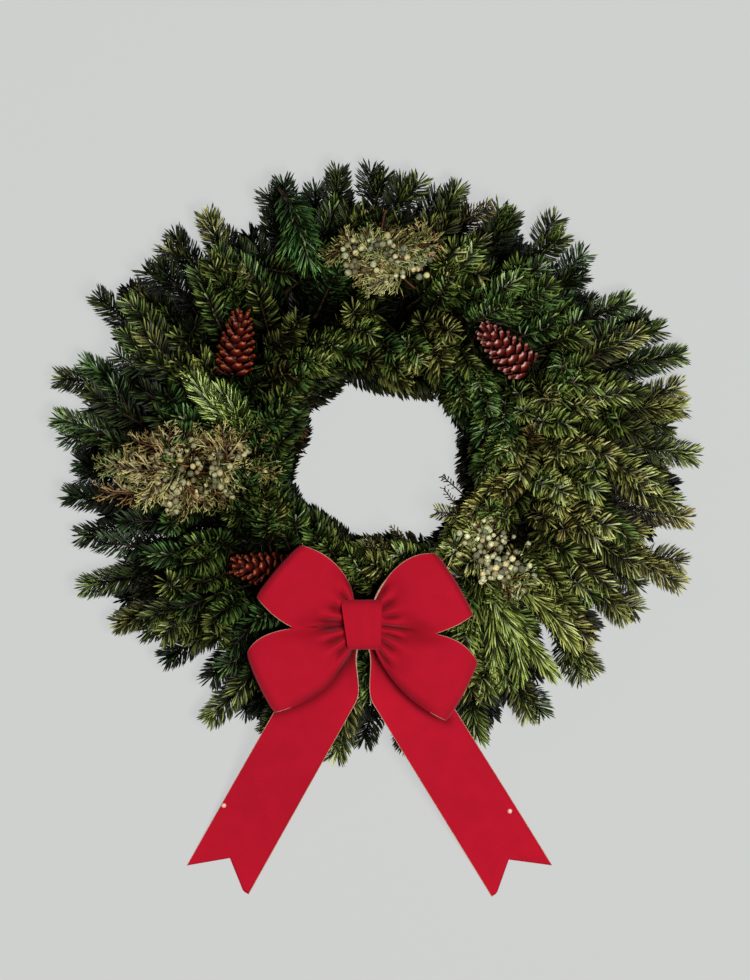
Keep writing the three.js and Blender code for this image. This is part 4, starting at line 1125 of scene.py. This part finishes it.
def loop_surface(place_name):
    """A loop: out along the front, round the fold and back behind. In plan each point is between the
    inner edge, at s = -1, and the outer edge, at s = 1. The outer edge is a cubic curve. The inner
    one is straight to where the loop parts from its neighbour and a quadratic curve from there on.
    Front and back draw apart as the gathers open. Creases run along the loop: waves of a cosine over
    s, ten radians for half the width near the band and four further out, each under a bell along the
    loop. The inner edge lies in the valley between the two loops."""
    outer, corner, parting, swing = LOOP_EDGES[place_name]
    lower = place_name.startswith("lower")
    left = -1 if place_name.endswith("left") else 1
    flat = np.linspace(0, FOLD_FROM, FLAT_STATIONS)
    fold = np.linspace(0, np.pi, 17)[1:-1]
    share = np.concatenate([flat, FOLD_FROM + 0.09 * np.sin(fold), flat[::-1]])
    apart = np.concatenate([np.ones(FLAT_STATIONS), np.cos(fold), -np.ones(FLAT_STATIONS)])
    outer_edge, _ = along_curve(np.array(outer, dtype=float), share)
    parting, swing, corner = (np.array(p) for p in (parting, swing, corner))
    first = np.array((left * GATHER_HALF, -0.8 if lower else 0.8))
    t = np.clip(share / 0.55, 0, 1)[:, None]
    w = np.clip((share - 0.55) / 0.45, 0, 1)[:, None]
    inner_edge = np.where(
        w > 0,
        (1 - w) ** 2 * parting + 2 * w * (1 - w) * swing + w**2 * corner,
        first + (parting - first) * t,
    )
    s = columns_of(27)
    between = ((s + 1) / 2)[None, :, None]
    plan = inner_edge[:, None] * (1 - between) + outer_edge[:, None] * between
    # The fold bows out a little and its corners are rounded off.
    out = unit((outer_edge[FLAT_STATIONS - 1] + corner) / 2)
    round_off = (2.0 * (1 - s**2) - 1.4 * np.abs(s) ** 14)[None] * smooth((share - 0.55) / 0.45)[:, None]
    plan = plan + out * round_off[..., None]
    opened = 1.2 + ((LOOP_FRONT - LOOP_BACK) / 2 - 1.7) * smooth((share - 0.12) / 0.5)
    full = 1 - 0.4 * np.abs(s) ** 3
    u = share[:, None]
    crease = 4.4 * bell(u - 0.22, 0.12) * np.cos(10 * s + 1.3 * left + lower)
    crease = crease + 1.5 * bell(u - 0.4, 0.18) * np.cos(4.2 * s + left)
    valley = 8 * bell(1 + s, 0.3) * fading(u, 0.45, 0.3)
    curl = 6 * smooth((s - 0.7) / 0.3) ** 2 * fading(u, 0.7, 0.3) * lower
    z = (LOOP_BACK + LOOP_FRONT) / 2 + (apart * opened)[:, None] * full + (crease - valley - curl)
    surface = np.stack([KNOT[0] + plan[..., 0], KNOT[1] + plan[..., 1], z], axis=-1)
    # Where an edge is tucked in, its cord is out of sight.
    tucked = np.where(s < 0, fading(u, 0.5, 0.1), lower * fading(u, 0.8, 0.1))
    # Painted shade: darker in the crease valleys near the band, along the inner edge in the valley between
    # the loops and along the lower loops' outer edge; the whole loop is painted a little darker than the
    # tails.
    nap_and_painted_shade = 0.93 - 0.5 * smooth(-crease / 3.2 - 0.1) * smooth((0.6 - u) / 0.3)
    nap_and_painted_shade = nap_and_painted_shade * (1 - 0.45 * bell(1 + s, 0.07) * fading(u, 0.3, 0.3))
    nap_and_painted_shade = nap_and_painted_shade * (1 - 0.45 * lower * bell(1 - s, 0.09) * fading(u, 0.7, 0.3))
    return surface, 1 - 0.05 * tucked, nap_and_painted_shade


for place_name, (_, length) in LOOPS.items():
    surface, inset, nap_and_painted_shade = loop_surface(place_name)
    ribbon(
        f"loop_{place_name}", surface, length_along(surface[:, 17]), f"bow_loop_{place_name}",
        inset=inset, nap_and_painted_shade=nap_and_painted_shade,
    )

# The band goes once round the knot: in profile a rounded oblong, with small puckers over the front.
lap = np.linspace(0, 2 * np.pi, 73) - np.pi / 2
reach_y = BAND_HALF_HEIGHT * np.sign(np.cos(lap)) * np.abs(np.cos(lap)) ** 0.55
reach_z = BAND_HALF_DEPTH * np.sign(np.sin(lap)) * np.abs(np.sin(lap)) ** 0.8
s = columns_of(17)
waist = 17.5 * s * (1 - 0.06 * np.cos(lap)[:, None] ** 8)
pucker = 0.5 * np.cos(9 * s)[None] * (np.sin(lap) ** 2)[:, None]
band = np.stack(np.broadcast_arrays(
    KNOT[0] + waist * (1 + 0.005 * reach_y[:, None]) - 0.06 * reach_y[:, None],
    KNOT[1] + reach_y[:, None],
    BAND_HEIGHT + reach_z[:, None] + pucker - np.linspace(0.6, -0.6, len(lap))[:, None],
), axis=-1)
around = length_along(band[:, 12])
# The band's velvet is painted a little darker than the tails, painted shade.
ribbon("band_round_knot", band, around, "bow_band", 0.55, 0.92)


def tail_surface(place_name):
    """A tail: straight in plan from under the knot to its cut end, tail_height above the table, with
    slow waves. It opens from the gather to full width and widens by 4% on its way to the end. A
    swallow-tail notch is cut in its end, and the point nearer to the other tail is trimmed off."""
    start, out, side, length = tail_line(place_name)
    share = np.linspace(0, 1, 90)
    s = columns_of(23)
    trimmed = TRIM * (s * (1 if place_name == "left" else -1) > 1 - TRIM / NOTCH)
    cut = np.maximum(NOTCH * (1 - np.abs(s)), trimmed) * smooth((share - 0.8) / 0.2)[:, None]
    at = share[:, None] * length - cut
    half = GATHER_HALF + (RIBBON / 2 - GATHER_HALF) * smooth(share * 5.5)
    half = half * (1 + 0.04 * smooth(share))
    plan = start + out * at[..., None] + side * (half[:, None] * s)[..., None]
    crease = 2.2 * bell(share, 0.16)[:, None] * np.cos(5.5 * s)
    wave = 1.2 * np.sin(7 * share + (2 if place_name == "left" else 0))[:, None] * (1 - share)[:, None] * s
    z = tail_height(at, length) + crease + wave
    # Painted light and shade: the tail is painted a little lighter than the loops, and darker in the crease
    # valleys by the gather.
    nap_and_painted_shade = 1.05 - 0.5 * bell(share, 0.1)[:, None] * smooth(-np.cos(5.5 * s))
    # Painted shadow where the lower loop's edge lies over the tail.
    outer_edge = np.array(LOOP_EDGES["lower_" + place_name][0], dtype=float)
    edge, _ = along_curve(outer_edge, np.linspace(0, 1, 60))
    away = np.linalg.norm(plan[:, :, None] - KNOT[:2] - edge, axis=-1).min(axis=-1)
    nap_and_painted_shade = nap_and_painted_shade * (1 - 0.62 * bell(away, 6))
    return np.concatenate([plan, z[..., None]], axis=-1), share * length, length, nap_and_painted_shade


for place_name in TAILS:
    surface, along, length, nap_and_painted_shade = tail_surface(place_name)
    ribbon(f"tail_{place_name}", surface, along, f"bow_tail_{place_name}", nap_and_painted_shade=nap_and_painted_shade)


# ---------- beads on the tails ----------
# A small round bead of pale pink pearl, sewn to the outer edge of each tail about three quarters of
# the way down.

# For each tail: how far down it the bead is, and how far to the side of its middle.
BEADS = {"left": (200.5, -30.0), "right": (210.0, 25.4)}
BEAD_RADIUS = 2.4


def pearl():
    """A bead: pale pink with a soft cloudiness and a clear, shiny coat."""
    material = blank("pink_pearl")
    cloud = noise(material, 500, 2)
    pinks = mapped(material, cloud, 0.35, 0.65)
    return finished(material, {
        "Base Color": mixed(material, (0.80, 0.33, 0.26), (0.90, 0.62, 0.52), pinks),
        "Roughness": mapped(material, cloud, 0.3, 0.7, 0.25, 0.4),
        "Coat Weight": 0.5,
        "Coat Roughness": 0.1,
    })


middles = []
for place_name, (down, aside) in BEADS.items():
    start, out, side, length = tail_line(place_name)
    sunk = tail_height(down, length) + CLOTH + 0.6 * BEAD_RADIUS
    middles.append((*(start + out * down + side * aside), sunk))
up = np.tile((0.0, 0.0, 1.0), (2, 1))
radius = np.full(2, BEAD_RADIUS)
vertices, faces, share, _, size = balls(np.array(middles), radius, up, 9, 14, 1.0)
tint = tinted(size, np.zeros(2), np.ones(2), share, 0.0)
beads = piece("beads_on_tails", [(vertices, faces, tint)], pearl(), True)
